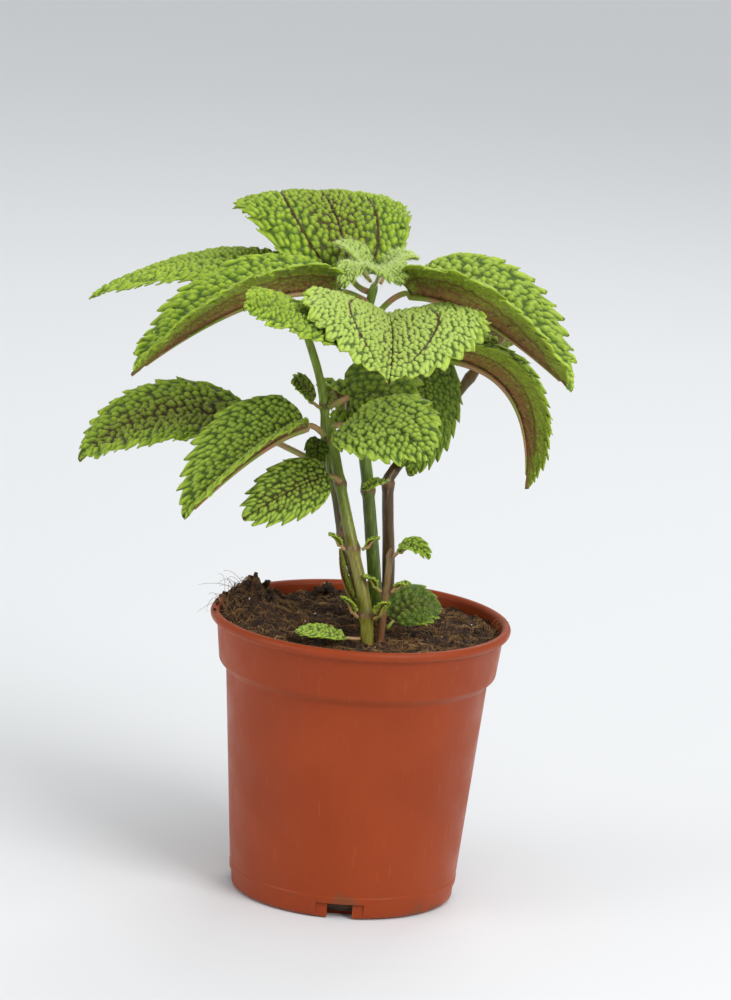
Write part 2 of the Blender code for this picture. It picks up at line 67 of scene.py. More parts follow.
def finish(name, roughness, **sockets):
    """A new material: its node tree and its shader, with plain values on the shader's sockets."""
    material = bpy.data.materials.new(name)
    material.use_nodes = True
    shader = material.node_tree.nodes["Principled BSDF"]
    shader.inputs["Roughness"].default_value = roughness
    for key, value in sockets.items():
        shader.inputs[key.replace("_", " ")].default_value = value
    return material, material.node_tree, shader


def piece(name, points, faces, *materials, smooth=True):
    """An object with a mesh of points given in millimetres."""
    mesh = bpy.data.meshes.new(name)
    mesh.from_pydata([Vector(p) * MM for p in points], [], faces)
    for material in materials:
        mesh.materials.append(material)
    if smooth:
        mesh.shade_smooth()
    made = bpy.data.objects.new(name, mesh)
    bpy.context.scene.collection.objects.link(made)
    return made


floor_corners = ((-1, -1), (1, -1), (1, 1), (-1, 1))
floor_points = [(x * FLOOR_HALF / MM, y * FLOOR_HALF / MM, 0) for x, y in floor_corners]
floor_finish, _, floor_shader = finish("studio_floor", 0.9)
floor_shader.inputs["Base Color"].default_value = (*FLOOR_COLOUR, 1.0)
floor = piece("studio_floor", floor_points, [(0, 1, 2, 3)], floor_finish)

world = bpy.data.worlds.new("studio_sky")
world.use_nodes = True
world.node_tree.nodes["Background"].inputs["Color"].default_value = (*SKY_COLOUR, 1.0)
world.node_tree.nodes["Background"].inputs["Strength"].default_value = SKY_STRENGTH
bpy.context.scene.world = world
bpy.context.scene.view_settings.view_transform = "Standard"

for name, place, size, power in (
    ("left_light", (-1.5, -0.8, 0.5), 0.9, 10.5),
    ("right_light", (1.1, -1.2, 1.1), 0.9, 23.0),
    ("back_light", (0.3, 1.2, 1.3), 0.8, 7.0),
):
    lamp = bpy.data.lights.new(name, "AREA")
    lamp.size = size
    lamp.energy = power
    stand = bpy.data.objects.new(name, lamp)
    stand.location = place
    stand.rotation_euler = (LAMP_AIM - Vector(place)).to_track_quat("-Z", "Y").to_euler()
    bpy.context.scene.collection.objects.link(stand)

above = bpy.data.lights.new("light_from_above", "SUN")
above.energy = ABOVE_STRENGTH
above.angle = ABOVE_SPREAD
overhead = bpy.data.objects.new("light_from_above", above)
overhead.rotation_euler = ABOVE_TILT
bpy.context.scene.collection.objects.link(overhead)

lens = bpy.data.cameras.new("camera")
lens.sensor_fit = "VERTICAL"
lens.sensor_height = CAMERA_SENSOR
lens.lens = CAMERA_LENS
camera = bpy.data.objects.new("camera", lens)
backwards = Vector((0, -math.cos(CAMERA_ELEVATION), math.sin(CAMERA_ELEVATION)))
turn = backwards.to_track_quat("Z", "Y").to_matrix().to_4x4() @ Matrix.Rotation(CAMERA_ROLL, 4, "Z")
camera.matrix_world = Matrix.Translation(CAMERA_AIM + backwards * CAMERA_DISTANCE) @ turn
bpy.context.scene.collection.objects.link(camera)
bpy.context.scene.camera = camera


# The pot: a round nursery pot, moulded in terracotta-coloured plastic, with a rolled lip, a collar
# and a tapering body. Its bottom edge has four drainage slots, and soil has left thin smears on it.
POT_HEIGHT = 113.0
POT_LIP = 60.0
POT_COLLAR_TOP = 57.2
POT_COLLAR_FOOT = 55.3
POT_COLLAR_HEIGHT = 92.5
POT_INNER_COLLAR = 56.2
POT_INNER_STEP = 104.0
POT_BODY_TOP = 52.3
POT_BODY_HEIGHT = 89.5
POT_BODY_FOOT = 45.2
POT_FOOT_HEIGHT = 3.0
POT_FOOT_FLAT = 41.5
POT_WALL = 1.3
POT_FLOOR = 1.8
POT_SIDES = 144
MOULD_LINE = 9.0
SLOT_WIDTH = 10.0
SLOT_TOP = 5.4
SLOT_DEPTH = 9.0
SLOT_FRAME_WIDTH = 19.0
SLOT_FRAME_TOP = 6.6
SLOT_FRAME_SINK = 0.5
SLOT_COUNT = 4
CUT_BEYOND = 6.0
SHARP_EDGE = math.radians(40.0)
PLASTIC = (0.275, 0.039, 0.0060)
PLASTIC_PALE = (0.38, 0.085, 0.025)
PLASTIC_DEEP = (0.242, 0.033, 0.0050)
DUST = (0.15, 0.05, 0.02)


def attach(tree, kind, inputs=None, **settings):
    """Add a node, set its properties, and fill or link its inputs."""
    made = tree.nodes.new(kind)
    for name, value in settings.items():
        setattr(made, name, value)
    for key, value in (inputs or {}).items():
        if isinstance(value, bpy.types.NodeSocket):
            tree.links.new(value, made.inputs[key])
        else:
            made.inputs[key].default_value = value
    return made


def mixed(tree, share, first, second):
    """A colour between two colours, by a share that is a number or a socket."""
    node = attach(tree, "ShaderNodeMix", data_type="RGBA")
    for index, value in ((0, share), (6, first), (7, second)):
        if isinstance(value, bpy.types.NodeSocket):
            tree.links.new(value, node.inputs[index])
        elif index:
            node.inputs[index].default_value = (*value, 1.0)
        else:
            node.inputs[index].default_value = value
    return node.outputs[2]


def between(tree, value, low, high, start=0.0, end=1.0):
    """A value mapped from one range to another, smoothly and held at the ends."""
    node = attach(tree, "ShaderNodeMapRange", {0: value, 1: low, 2: high, 3: start, 4: end})
    node.interpolation_type = "SMOOTHSTEP"
    return node.outputs[0]


def object_place(tree):
    """A spot's place on the object, in metres."""
    return attach(tree, "ShaderNodeTexCoord").outputs["Object"]


def cloud(tree, place, scale, detail=3.0):
    """A value near a half that drifts from place to place."""
    noisy = attach(tree, "ShaderNodeTexNoise", {"Vector": place, "Scale": scale, "Detail": detail})
    return noisy.outputs["Fac"]


def fine_relief(tree, height, strength, depth):
    """A fine relief for a shader, from a height and its depth in metres."""
    bump = attach(tree, "ShaderNodeBump", {"Height": height, "Strength": strength, "Distance": depth})
    return bump.outputs[0]


def rounded(corners, steps=4):
    """A profile with each corner (radius, height, rounding) turned into a short curve."""
    line = []
    for k, (r, z, rounding) in enumerate(corners):
        here = Vector((r, z))
        if not rounding or k in (0, len(corners) - 1):
            line.append(here)
            continue
        before = Vector(corners[k - 1][:2]) - here
        after = Vector(corners[k + 1][:2]) - here
        start = here + before.normalized() * min(rounding, before.length / 2)
        end = here + after.normalized() * min(rounding, after.length / 2)
        for i in range(steps + 1):
            t = i / steps
            line.append(start * (1 - t) ** 2 + here * 2 * t * (1 - t) + end * t * t)
    return line


def turned(name, profile, sides, *materials):
    """A closed body turned about Z from a profile that starts and ends on the axis."""
    inner = profile[1:-1]
    points = [(0.0, 0.0, profile[0][1])]
    for r, z in inner:
        for s in range(sides):
            angle = 2 * math.pi * s / sides
            points.append((r * math.cos(angle), r * math.sin(angle), z))
    points.append((0.0, 0.0, profile[-1][1]))
    faces = []
    top = 1 + (len(inner) - 1) * sides
    for s in range(sides):
        after = (s + 1) % sides
        faces.append((0, 1 + after, 1 + s))
        for k in range(len(inner) - 1):
            a = 1 + k * sides
            faces.append((a + s, a + after, a + sides + after, a + sides + s))
        faces.append((top + s, top + after, len(points) - 1))
    return piece(name, points, faces, *materials)


def settled(name, source):
    """The object as its modifiers leave it, as a plain mesh under a new name."""
    graph = bpy.context.evaluated_depsgraph_get()
    evaluated = source.evaluated_get(graph)
    mesh = bpy.data.meshes.new_from_object(evaluated, preserve_all_data_layers=True, depsgraph=graph)
    made = bpy.data.objects.new(name, mesh)
    mesh.name = name
    bpy.context.scene.collection.objects.link(made)
    bpy.data.objects.remove(source)
    return made


def pot_plastic():
    """Satin plastic: faint upright scratches, uneven colour, and soil dust low down and in specks."""
    material, tree, shader = finish("pot_plastic", 0.42, Specular_IOR_Level=0.2, Sheen_Weight=0.12,
                                    Sheen_Roughness=0.6, Sheen_Tint=(1.0, 0.38, 0.18, 1.0))
    place = object_place(tree)
    colour = mixed(tree, between(tree, cloud(tree, place, 28.0), 0.35, 0.7), PLASTIC_DEEP, PLASTIC)
    tall = attach(tree, "ShaderNodeMapping", {"Vector": place, "Scale": (900.0, 900.0, 14.0)})
    scratches = cloud(tree, tall.outputs[0], 1.0, 2.0)
    colour = mixed(tree, between(tree, scratches, 0.62, 0.80, 0.0, 0.4), colour, PLASTIC_PALE)
    height = attach(tree, "ShaderNodeSeparateXYZ", {0: place}).outputs["Z"]
    low = between(tree, height, 0.045, 0.0, 0.0, 0.12)
    grime = cloud(tree, place, 75.0, 6.0)
    smear = attach(tree, "ShaderNodeMath", {0: grime, 1: low}, operation="ADD").outputs[0]
    colour = mixed(tree, between(tree, smear, 0.70, 0.80, 0.0, 0.7), colour, DUST)
    specks = attach(tree, "ShaderNodeTexVoronoi", {"Vector": place, "Scale": 85.0}).outputs["Distance"]
    colour = mixed(tree, between(tree, specks, 0.055, 0.03, 0.0, 0.85), colour, DUST)
    tree.links.new(colour, shader.inputs["Base Color"])
    tree.links.new(between(tree, grime, 0.3, 0.7, 0.34, 0.52), shader.inputs["Roughness"])
    fine = cloud(tree, place, 420.0, 2.0)
    tree.links.new(fine_relief(tree, fine, 0.06, 0.0004), shader.inputs["Normal"])
    return material


def slot_cutter(width, top, near, far):
    """One box for each drainage slot, to cut the pot with."""
    shape = bmesh.new()
    for k in range(SLOT_COUNT):
        spin = Matrix.Rotation(2 * math.pi * k / SLOT_COUNT, 4, "Z")
        middle = Matrix.Translation(Vector(((near + far) / 2, 0, top / 2 - 1.0)) * MM)
        size = Matrix.Diagonal(((far - near) * MM, width * MM, (top + 2.0) * MM, 1.0))
        bmesh.ops.create_cube(shape, size=1.0, matrix=spin @ middle @ size)
    made = piece("slot_cutter", [], [])
    shape.to_mesh(made.data)
    shape.free()
    return made


# Each corner's radius, height and rounding: out along the foot, up the outside and down the inside.
pot_corners = [
    (0.0, 0.0, 0.0),
    (POT_FOOT_FLAT, 0.0, 0.0),
    (44.6, 0.6, 1.5),
    (POT_BODY_FOOT, POT_FOOT_HEIGHT, 0.6),
    (POT_BODY_FOOT + 0.55, MOULD_LINE, 0.2),
    (POT_BODY_FOOT + 0.35, MOULD_LINE + 0.4, 0.2),
    (POT_BODY_TOP, POT_BODY_HEIGHT, 0.5),
    (POT_COLLAR_FOOT, POT_COLLAR_HEIGHT, 0.9),
    (POT_COLLAR_TOP, POT_HEIGHT - 4.2, 0.8),
    (POT_LIP - 0.5, POT_HEIGHT - 3.6, 1.0),
    (POT_LIP + 0.1, POT_HEIGHT - 1.6, 1.4),
    (POT_LIP - 0.9, POT_HEIGHT, 1.2),
    (POT_COLLAR_TOP, POT_HEIGHT, 0.8),
    (POT_INNER_COLLAR, POT_HEIGHT - POT_WALL, 0.8),
    (POT_INNER_COLLAR, POT_INNER_STEP, 0.5),
    (POT_BODY_TOP - POT_WALL, POT_BODY_HEIGHT, 0.5),
    (POT_BODY_FOOT - POT_WALL, 4.5, 1.5),
    (POT_BODY_FOOT - POT_WALL - 2.5, POT_FLOOR, 1.5),
    (0.0, POT_FLOOR, 0.0),
]
pot_blank = turned("pot_blank", rounded(pot_corners), POT_SIDES, pot_plastic())
frame_face = math.sqrt(POT_BODY_FOOT ** 2 - (SLOT_FRAME_WIDTH / 2) ** 2)
cut_end = POT_BODY_FOOT + CUT_BEYOND
cutters = [
    slot_cutter(SLOT_WIDTH, SLOT_TOP, POT_BODY_FOOT - SLOT_DEPTH, cut_end),
    slot_cutter(SLOT_FRAME_WIDTH, SLOT_FRAME_TOP, frame_face - SLOT_FRAME_SINK, cut_end),
]
for cutter in cutters:
    tool = pot_blank.modifiers.new("cut", "BOOLEAN")
    tool.operation = "DIFFERENCE"
    tool.solver = "EXACT"
    tool.object = cutter
pot = settled("pot_shell", pot_blank)
for cutter in cutters:
    bpy.data.objects.remove(cutter)
pot.data.set_sharp_from_angle(angle=SHARP_EDGE)
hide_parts("pot")
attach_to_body(pot, "root")


# The root ball: dark fibrous peat that fills the pot to just under its lip, heaped up at the left.
# Its surface is broken by crumbs of three sizes, and the stems stand in it.
SOIL_EDGE = 108.0
SOIL_SPREAD = 55.0
SOIL_MOUND = 1.5
SOIL_CLUMP = 6.0
CLUMP_X = -44.0
CLUMP_Y = 8.0
CLUMP_ACROSS = 16.0
CLUMP_ALONG = 26.0
BROAD_CRUMB = 1.1
BROAD_SIZE = 7.0
SOIL_RADIUS = 55.6
SOIL_GRID = 180
# Radius and height of the rings down the side, to the pot's floor.
SOIL_SIDE = ((SOIL_RADIUS, 103.5), (50.3, 89.0), (43.2, 5.5), (40.0, 2.3))
# Each heap's place, its reach across and along, and its height.
HEAPS = ((-43.0, 15.0, 8.0, 12.0, 8.0), (-14.0, 45.0, 6.0, 4.5, 6.5))
HEAP_LUMP = 3.3
# The size of each kind of crumb, and how far it stands out.
CRUMBS = ((4.0, 1.5), (2.1, 1.1), (0.9, 0.5))
PEAT_DARK = (0.014, 0.006, 0.002)
PEAT_MIDDLE = (0.054, 0.022, 0.007)
PEAT_LIGHT = (0.135, 0.065, 0.020)


def soil_height(x, y):
    """Height of the soil's surface, without its finer crumbs."""
    mound = SOIL_MOUND * math.cos(math.pi / 2 * min(1.0, math.hypot(x, y) / SOIL_SPREAD))
    beside = math.hypot((x - CLUMP_X) / CLUMP_ACROSS, (y - CLUMP_Y) / CLUMP_ALONG)
    clump = SOIL_CLUMP * math.exp(-beside * beside)
    lumps = BROAD_CRUMB * noise.noise(Vector((x, y, 0.0)) / BROAD_SIZE)
    return SOIL_EDGE + mound + clump + lumps


def crumbs(x, y):
    """Rise of the heaps, and of the finer crumbs: lumps of 4, 2 and 1 mm."""
    rise = 0.0
    for heap_x, heap_y, across, along, height in HEAPS:
        beside = math.hypot((x - heap_x) / across, (y - heap_y) / along)
        rough = 0.75 + 0.9 * noise.noise(Vector((x, y, 5.0)) / HEAP_LUMP)
        rise += height * rough * math.exp(-beside * beside)
    for size, depth in CRUMBS:
        rise += depth * (noise.noise(Vector((x / size, y / size, size))) - 0.1)
    return rise


def soil_shape():
    """A closed body: a square grid bent into a disc for the top, and the pot's taper for the sides."""
    points = []
    faces = []
    n = SOIL_GRID
    for j in range(n + 1):
        for i in range(n + 1):
            u = 2 * i / n - 1
            v = 2 * j / n - 1
            x = u * math.sqrt(1 - v * v / 2) * SOIL_RADIUS
            y = v * math.sqrt(1 - u * u / 2) * SOIL_RADIUS
            points.append((x, y, soil_height(x, y) + crumbs(x, y)))
    for j in range(n):
        for i in range(n):
            a = j * (n + 1) + i
            faces.append((a, a + 1, a + n + 2, a + n + 1))
    edge = list(range(n))
    edge += [j * (n + 1) + n for j in range(n)]
    edge += [n * (n + 1) + n - i for i in range(n)]
    edge += [(n - j) * (n + 1) for j in range(n)]
    for radius, height in SOIL_SIDE:
        first = len(points)
        for k in edge:
            x, y, z = points[k]
            shrink = radius / math.hypot(x, y)
            points.append((x * shrink, y * shrink, height))
        ring = list(range(first, first + len(edge)))
        for k in range(len(edge)):
            after = (k + 1) % len(edge)
            faces.append((edge[k], ring[k], ring[after], edge[after]))
        edge = ring
    faces.append(tuple(reversed(edge)))
    return points, faces


def peat():
    """Dark peat: near black in its hollows, brown on the crumbs, with paler fibrous bits."""
    material, tree, shader = finish("peat", 0.92)
    place = object_place(tree)
    lumps = attach(tree, "ShaderNodeTexNoise", {"Vector": place, "Scale": 260.0, "Detail": 8.0,
                                                "Roughness": 0.7}).outputs["Fac"]
    shreds = attach(tree, "ShaderNodeTexNoise", {"Vector": place, "Scale": 900.0, "Detail": 4.0,
                                                 "Distortion": 2.0}).outputs["Fac"]
    colour = mixed(tree, between(tree, lumps, 0.38, 0.62), PEAT_DARK, PEAT_MIDDLE)
    colour = mixed(tree, between(tree, shreds, 0.56, 0.74, 0.0, 0.75), colour, PEAT_LIGHT)
    tree.links.new(colour, shader.inputs["Base Color"])
    tree.links.new(fine_relief(tree, shreds, 0.8, 0.0006), shader.inputs["Normal"])
    return material


PEAT = peat()
soil = piece("root_ball", *soil_shape(), PEAT)
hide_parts("soil")
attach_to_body(soil, "root")


# Litter on the soil: loose crumbs, a few white grains, and the fibres of the peat, which lie
# tangled over the surface. Each kind is strewn over the soil by a rule, with a fixed seed.
CRUMB_DENSITY = 190000.0
CRUMB_SIZE = 0.9
CRUMB_LEAST = (0.25, 0.25, 0.2)
CRUMB_MOST = (1.2, 0.9, 0.7)
GRAIN_DENSITY = 2600.0
GRAIN_SIZE = 0.8
FIBRE_DENSITY = 190000.0
FIBRE_LENGTH = 11.0
FIBRE_THICKNESS = 0.11
FIBRE_CURL = 5.0
FIBRE_POINTS = 9
FIBRE_LIFT = 9.0
FIBRE_REST = 0.05
DROP_HEIGHT = 140.0
DROP_LENGTH = 100.0
STREW_RADIUS = 54.0
FULL_TURN = 6.3
FIBRE_COLOUR = (0.23, 0.115, 0.032)
FIBRE_PALE = (0.46, 0.29, 0.11)
GRAIN_COLOUR = (0.75, 0.72, 0.66)


def geometry_tree(name, **inputs):
    """An empty tree with named inputs, and its input and output sockets."""
    tree = bpy.data.node_groups.new(name, "GeometryNodeTree")
    tree.interface.new_socket("Geometry", in_out="INPUT", socket_type="NodeSocketGeometry")
    for label, value in inputs.items():
        kind = {int: "NodeSocketInt", float: "NodeSocketFloat"}.get(type(value), "NodeSocketMaterial")
        socket = tree.interface.new_socket(label, in_out="INPUT", socket_type=kind)
        socket.default_value = value
    tree.interface.new_socket("Geometry", in_out="OUTPUT", socket_type="NodeSocketGeometry")
    return tree, tree.nodes.new("NodeGroupInput").outputs, tree.nodes.new("NodeGroupOutput").inputs[0]


def grow(source, tree, **values):
    """Put a tree on an object and set its inputs."""
    modifier = source.modifiers.new(tree.name, "NODES")
    modifier.node_group = tree
    for item in tree.interface.items_tree:
        if item.name in values and item.in_out == "INPUT":
            modifier[item.identifier] = values[item.name]


def maths(tree, operation, *values):
    """A maths node's result."""
    return attach(tree, "ShaderNodeMath", dict(enumerate(values)), operation=operation).outputs[0]


def vectors(tree, operation, *values):
    """A vector maths node's result."""
    inputs = dict(enumerate(values))
    if operation == "SCALE":
        inputs = {0: values[0], "Scale": values[1]}
    return attach(tree, "ShaderNodeVectorMath", inputs, operation=operation).outputs[0]


def strewn_points(tree, given, density, seed):
    """Points over the upward faces of the soil's top, in from its edge."""
    normal = attach(tree, "GeometryNodeInputNormal").outputs[0]
    facing = attach(tree, "ShaderNodeSeparateXYZ", {0: normal}).outputs[2]
    position = attach(tree, "GeometryNodeInputPosition").outputs[0]
    height = attach(tree, "ShaderNodeSeparateXYZ", {0: position}).outputs[2]
    upward = attach(tree, "FunctionNodeCompare", {0: facing, 1: 0.1}).outputs[0]
    high = attach(tree, "FunctionNodeCompare", {0: height, 1: 0.1}).outputs[0]
    chosen = attach(tree, "FunctionNodeBooleanMath", {0: upward, 1: high}).outputs[0]
    scatter = attach(tree, "GeometryNodeDistributePointsOnFaces",
                     {"Mesh": given["Geometry"], "Selection": chosen, "Density": density, "Seed": seed})
    return scatter.outputs["Points"]


def planted(tree, points, shape, turn, size, material):
    """A shape set on every point, made into plain mesh and given its material."""
    placed = attach(tree, "GeometryNodeInstanceOnPoints",
                    {"Points": points, "Instance": shape, "Rotation": turn, "Scale": size})
    whole = attach(tree, "GeometryNodeRealizeInstances", {0: placed.outputs[0]})
    dressed = attach(tree, "GeometryNodeSetMaterial", {0: whole.outputs[0], "Material": material})
    return dressed.outputs[0]


def crumb_tree():
    """Small uneven grains that sit in the surface."""
    tree, given, result = geometry_tree("Crumbs", Density=CRUMB_DENSITY, Size=CRUMB_SIZE * MM,
                                        Seed=3, Finish=None)
    points = strewn_points(tree, given, given["Density"], given["Seed"])
    grain = attach(tree, "GeometryNodeMeshIcoSphere", {"Radius": 1.0, "Subdivisions": 1})
    spin = attach(tree, "FunctionNodeRandomValue",
                  {0: (0, 0, 0), 1: (FULL_TURN,) * 3, "Seed": 5}, data_type="FLOAT_VECTOR")
    form = attach(tree, "FunctionNodeRandomValue",
                  {0: CRUMB_LEAST, 1: CRUMB_MOST, "Seed": 9}, data_type="FLOAT_VECTOR")
    size = vectors(tree, "SCALE", form.outputs[0], given["Size"])
    grains = planted(tree, points, grain.outputs[0], spin.outputs[0], size, given["Finish"])
    tree.links.new(grains, result)
    return tree


def fibre_tree():
    """Thin strands that follow the surface, each bent by a field that varies from place to place."""
    tree, given, result = geometry_tree(
        "Fibres", Density=FIBRE_DENSITY, Length=FIBRE_LENGTH * MM, Thickness=FIBRE_THICKNESS * MM,
        Curl=FIBRE_CURL * MM, Reach=STREW_RADIUS * MM, Seed=11, Finish=None)
    points = strewn_points(tree, given, given["Density"], given["Seed"])
    end = attach(tree, "ShaderNodeCombineXYZ", {0: given["Length"]})
    strand = attach(tree, "GeometryNodeCurvePrimitiveLine", {"End": end.outputs[0]})
    strand = attach(tree, "GeometryNodeResampleCurve",
                    {"Curve": strand.outputs[0], "Count": FIBRE_POINTS})
    spin = attach(tree, "FunctionNodeRandomValue", {0: (0, 0, 0), 1: (0, 0, FULL_TURN), "Seed": 2},
                  data_type="FLOAT_VECTOR")
    size = attach(tree, "FunctionNodeRandomValue", {2: 0.25, 3: 1.3, "Seed": 4})
    placed = attach(tree, "GeometryNodeInstanceOnPoints", {
        "Points": points, "Instance": strand.outputs[0], "Rotation": spin.outputs[0],
        "Scale": size.outputs[1]})
    whole = attach(tree, "GeometryNodeRealizeInstances", {0: placed.outputs[0]})
    spot = attach(tree, "GeometryNodeInputPosition").outputs[0]
    field = attach(tree, "ShaderNodeTexNoise", {"Vector": spot, "Scale": 130.0, "Detail": 2.0})
    swing = vectors(tree, "SUBTRACT", field.outputs["Color"], (0.5, 0.5, 0.5))
    reach = maths(tree, "MULTIPLY", given["Curl"], 3.0)
    bent = vectors(tree, "ADD", spot, vectors(tree, "SCALE", swing, reach))
    flat = vectors(tree, "MULTIPLY", bent, (1.0, 1.0, 0.0))
    length = attach(tree, "ShaderNodeVectorMath", {0: flat}, operation="LENGTH").outputs["Value"]
    keep = maths(tree, "MINIMUM", 1.0, maths(tree, "DIVIDE", given["Reach"], length))
    inside = vectors(tree, "SCALE", flat, keep)
    above = vectors(tree, "ADD", inside, (0.0, 0.0, DROP_HEIGHT * MM))
    hit = attach(tree, "GeometryNodeRaycast", {
        "Target Geometry": given["Geometry"], "Source Position": above,
        "Ray Direction": (0.0, 0.0, -1.0), "Ray Length": DROP_LENGTH * MM})
    lift = attach(tree, "ShaderNodeSeparateXYZ", {0: swing}).outputs[2]
    raised = maths(tree, "MAXIMUM", maths(tree, "MULTIPLY", lift, FIBRE_LIFT * MM), FIBRE_REST * MM)
    rise = attach(tree, "ShaderNodeCombineXYZ", {2: raised})
    resting = vectors(tree, "ADD", hit.outputs["Hit Position"], rise.outputs[0])
    laid = attach(tree, "GeometryNodeSetPosition", {"Geometry": whole.outputs[0],
                                                    "Selection": hit.outputs["Is Hit"],
                                                    "Position": resting})
    round_profile = attach(tree, "GeometryNodeCurvePrimitiveCircle", {"Resolution": 3,
                                                                      "Radius": given["Thickness"]})
    tube = attach(tree, "GeometryNodeCurveToMesh", {"Curve": laid.outputs[0], "Fill Caps": True,
                                                    "Profile Curve": round_profile.outputs[0]})
    dressed = attach(tree, "GeometryNodeSetMaterial", {0: tube.outputs[0], "Material": given["Finish"]})
    tree.links.new(dressed.outputs[0], result)
    return tree


def fibre_finish():
    """Golden-brown plant fibre, darker where it is damp."""
    material, tree, shader = finish("peat_fibre", 0.75)
    place = object_place(tree)
    spread = cloud(tree, place, 150.0)
    colour = mixed(tree, between(tree, spread, 0.35, 0.55), PEAT_MIDDLE, FIBRE_COLOUR)
    colour = mixed(tree, between(tree, spread, 0.55, 0.75), colour, FIBRE_PALE)
    tree.links.new(colour, shader.inputs["Base Color"])
    return material


def grain_finish():
    """White volcanic grains, stained by the peat."""
    material, tree, shader = finish("white_grain", 0.85)
    place = object_place(tree)
    stain = cloud(tree, place, 600.0)
    colour = mixed(tree, between(tree, stain, 0.45, 0.7), GRAIN_COLOUR, FIBRE_COLOUR)
    tree.links.new(colour, shader.inputs["Base Color"])
    return material


FIBRE = fibre_finish()
for name, tree, values in (
    ("soil_crumbs", crumb_tree(), {"Finish": PEAT}),
    ("soil_grains", crumb_tree(), {"Finish": grain_finish(), "Density": GRAIN_DENSITY,
                                   "Size": GRAIN_SIZE * MM, "Seed": 8}),
    ("soil_fibres", fibre_tree(), {"Finish": FIBRE}),
):
    bed = bpy.data.objects.new(name + "_bed", soil.data.copy())
    bpy.context.scene.collection.objects.link(bed)
    grow(bed, tree, **values)
    litter = settled(name, bed)
    litter.data.shade_smooth()
    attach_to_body(litter, "root")


# Clods: lumps of peat that lie loose at the left, up against and over the lip, and one dark clump
# by the back rim. Each is a sphere knocked out of shape.
CLOD_ROWS = 9
CLOD_SIDES = 14
CLOD_POLE = 0.7
CLOD_FLATNESS = 0.75
CLOD_SMALLEST = 0.35
CLOD_SEAT = 0.3
# How close together each kind of lump stands on a clod, and how tall it is.
CLOD_LUMPS = ((1.3, 0.9), (3.5, 0.5))


def clod(centre, size, key):
    """Points and faces of one lump, closed at both poles."""
    points = [centre + Vector((0, 0, -CLOD_POLE * size))]
    for j in range(1, CLOD_ROWS):
        tilt = math.pi * j / CLOD_ROWS
        for i in range(CLOD_SIDES):
            angle = 2 * math.pi * i / CLOD_SIDES
            flat = math.sin(tilt)
            way = Vector((flat * math.cos(angle), flat * math.sin(angle), -math.cos(tilt)))
            rough = 1.0
            for closeness, height in CLOD_LUMPS:
                rough += height * noise.noise(way * closeness + key)
            points.append(centre + Vector((way.x, way.y, CLOD_FLATNESS * way.z)) * size * rough)
    points.append(centre + Vector((0, 0, CLOD_POLE * size)))
    faces = []
    top = 1 + (CLOD_ROWS - 2) * CLOD_SIDES
    for i in range(CLOD_SIDES):
        after = (i + 1) % CLOD_SIDES
        faces.append((0, 1 + after, 1 + i))
        for j in range(CLOD_ROWS - 2):
            a = 1 + j * CLOD_SIDES
            faces.append((a + i, a + after, a + CLOD_SIDES + after, a + CLOD_SIDES + i))
        faces.append((top + i, top + after, len(points) - 1))
    return points, faces


def gathered(parts):
    """Several lots of points and faces as one."""
    points = []
    faces = []
    for some_points, some_faces in parts:
        first = len(points)
        points += some_points
        faces += [tuple(first + k for k in face) for face in some_faces]
    return points, faces


draw = random.Random(5)
clods = []
# For each lot: how many, their middle angle and spread, the radii between which they lie, their size
# and how high they are piled.
for count, middle, spread, near, far, size, lift in (
    (40, 160.0, 18.0, 36.0, 52.0, 1.4, 1.0),
    (16, 168.0, 22.0, 55.0, 59.0, 0.9, 0.0),
    (10, 107.0, 6.0, 42.0, 50.0, 1.4, 1.0),
    (50, 0.0, 180.0, 14.0, 50.0, 1.2, 0.0),
):
    for k in range(count):
        angle = math.radians(middle + draw.uniform(-spread, spread))
        radius = draw.uniform(near, far)
        spot = Vector((radius * math.cos(angle), radius * math.sin(angle), 0.0))
        width = size * draw.uniform(CLOD_SMALLEST, 1.0)
        ground = soil_height(spot.x, spot.y) + crumbs(spot.x, spot.y)
        spot.z = ground + width * CLOD_SEAT + lift * draw.random()
        if radius > POT_INNER_COLLAR - 1.5:
            spot.z = POT_HEIGHT + width * 0.5
        clods.append(clod(spot, width, Vector((k * 3.1, middle, 0.0))))
soil_clods = piece("soil_clods", *gathered(clods), PEAT)
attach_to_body(soil_clods, "root")


# Root hairs: fine dry roots, each one thin tapering strand. They grow out of the soil by the wall and
# curl out over the lip, most of them from the heap at the left.
ROOT_THICKNESS = 0.13
ROOT_STEPS = 14
ROOT_CLEAR = 0.6
ROOT_NEAREST = 50.0
ROOT_FURTHEST = 54.0
ROOT_RISE = 1.2
ROOT_OUTWARD = 0.6
ROOT_STRAY = 0.4
ROOT_STRAIGHT_STEPS = 4
ROOT_WANDER = 0.6
ROOT_BEND = 0.17
ROOT_PULL = 0.06


def strand(points, thickness, sides=4):
    """Points and faces of a thin closed strand that tapers along its points."""
    rings = []
    for k, point in enumerate(points):
        along = (points[min(k + 1, len(points) - 1)] - points[max(k - 1, 0)]).normalized()
        across = along.orthogonal().normalized()
        radius = thickness * (1.0 - 0.6 * k / (len(points) - 1))
        beside = along.cross(across)
        turn = [2 * math.pi * s / sides for s in range(sides)]
        rings.append([point + (across * math.cos(a) + beside * math.sin(a)) * radius for a in turn])
    return tube(rings)


def tube(rings):
    """Points and faces of a closed tube through rings of equal length."""
    sides = len(rings[0])
    points = [p for ring in rings for p in ring]
    faces = [tuple(reversed(range(sides)))]
    for r in range(len(rings) - 1):
        for s in range(sides):
            a = r * sides + s
            b = r * sides + (s + 1) % sides
            faces.append((a, b, b + sides, a + sides))
    last = (len(rings) - 1) * sides
    faces.append(tuple(last + s for s in range(sides)))
    return points, faces


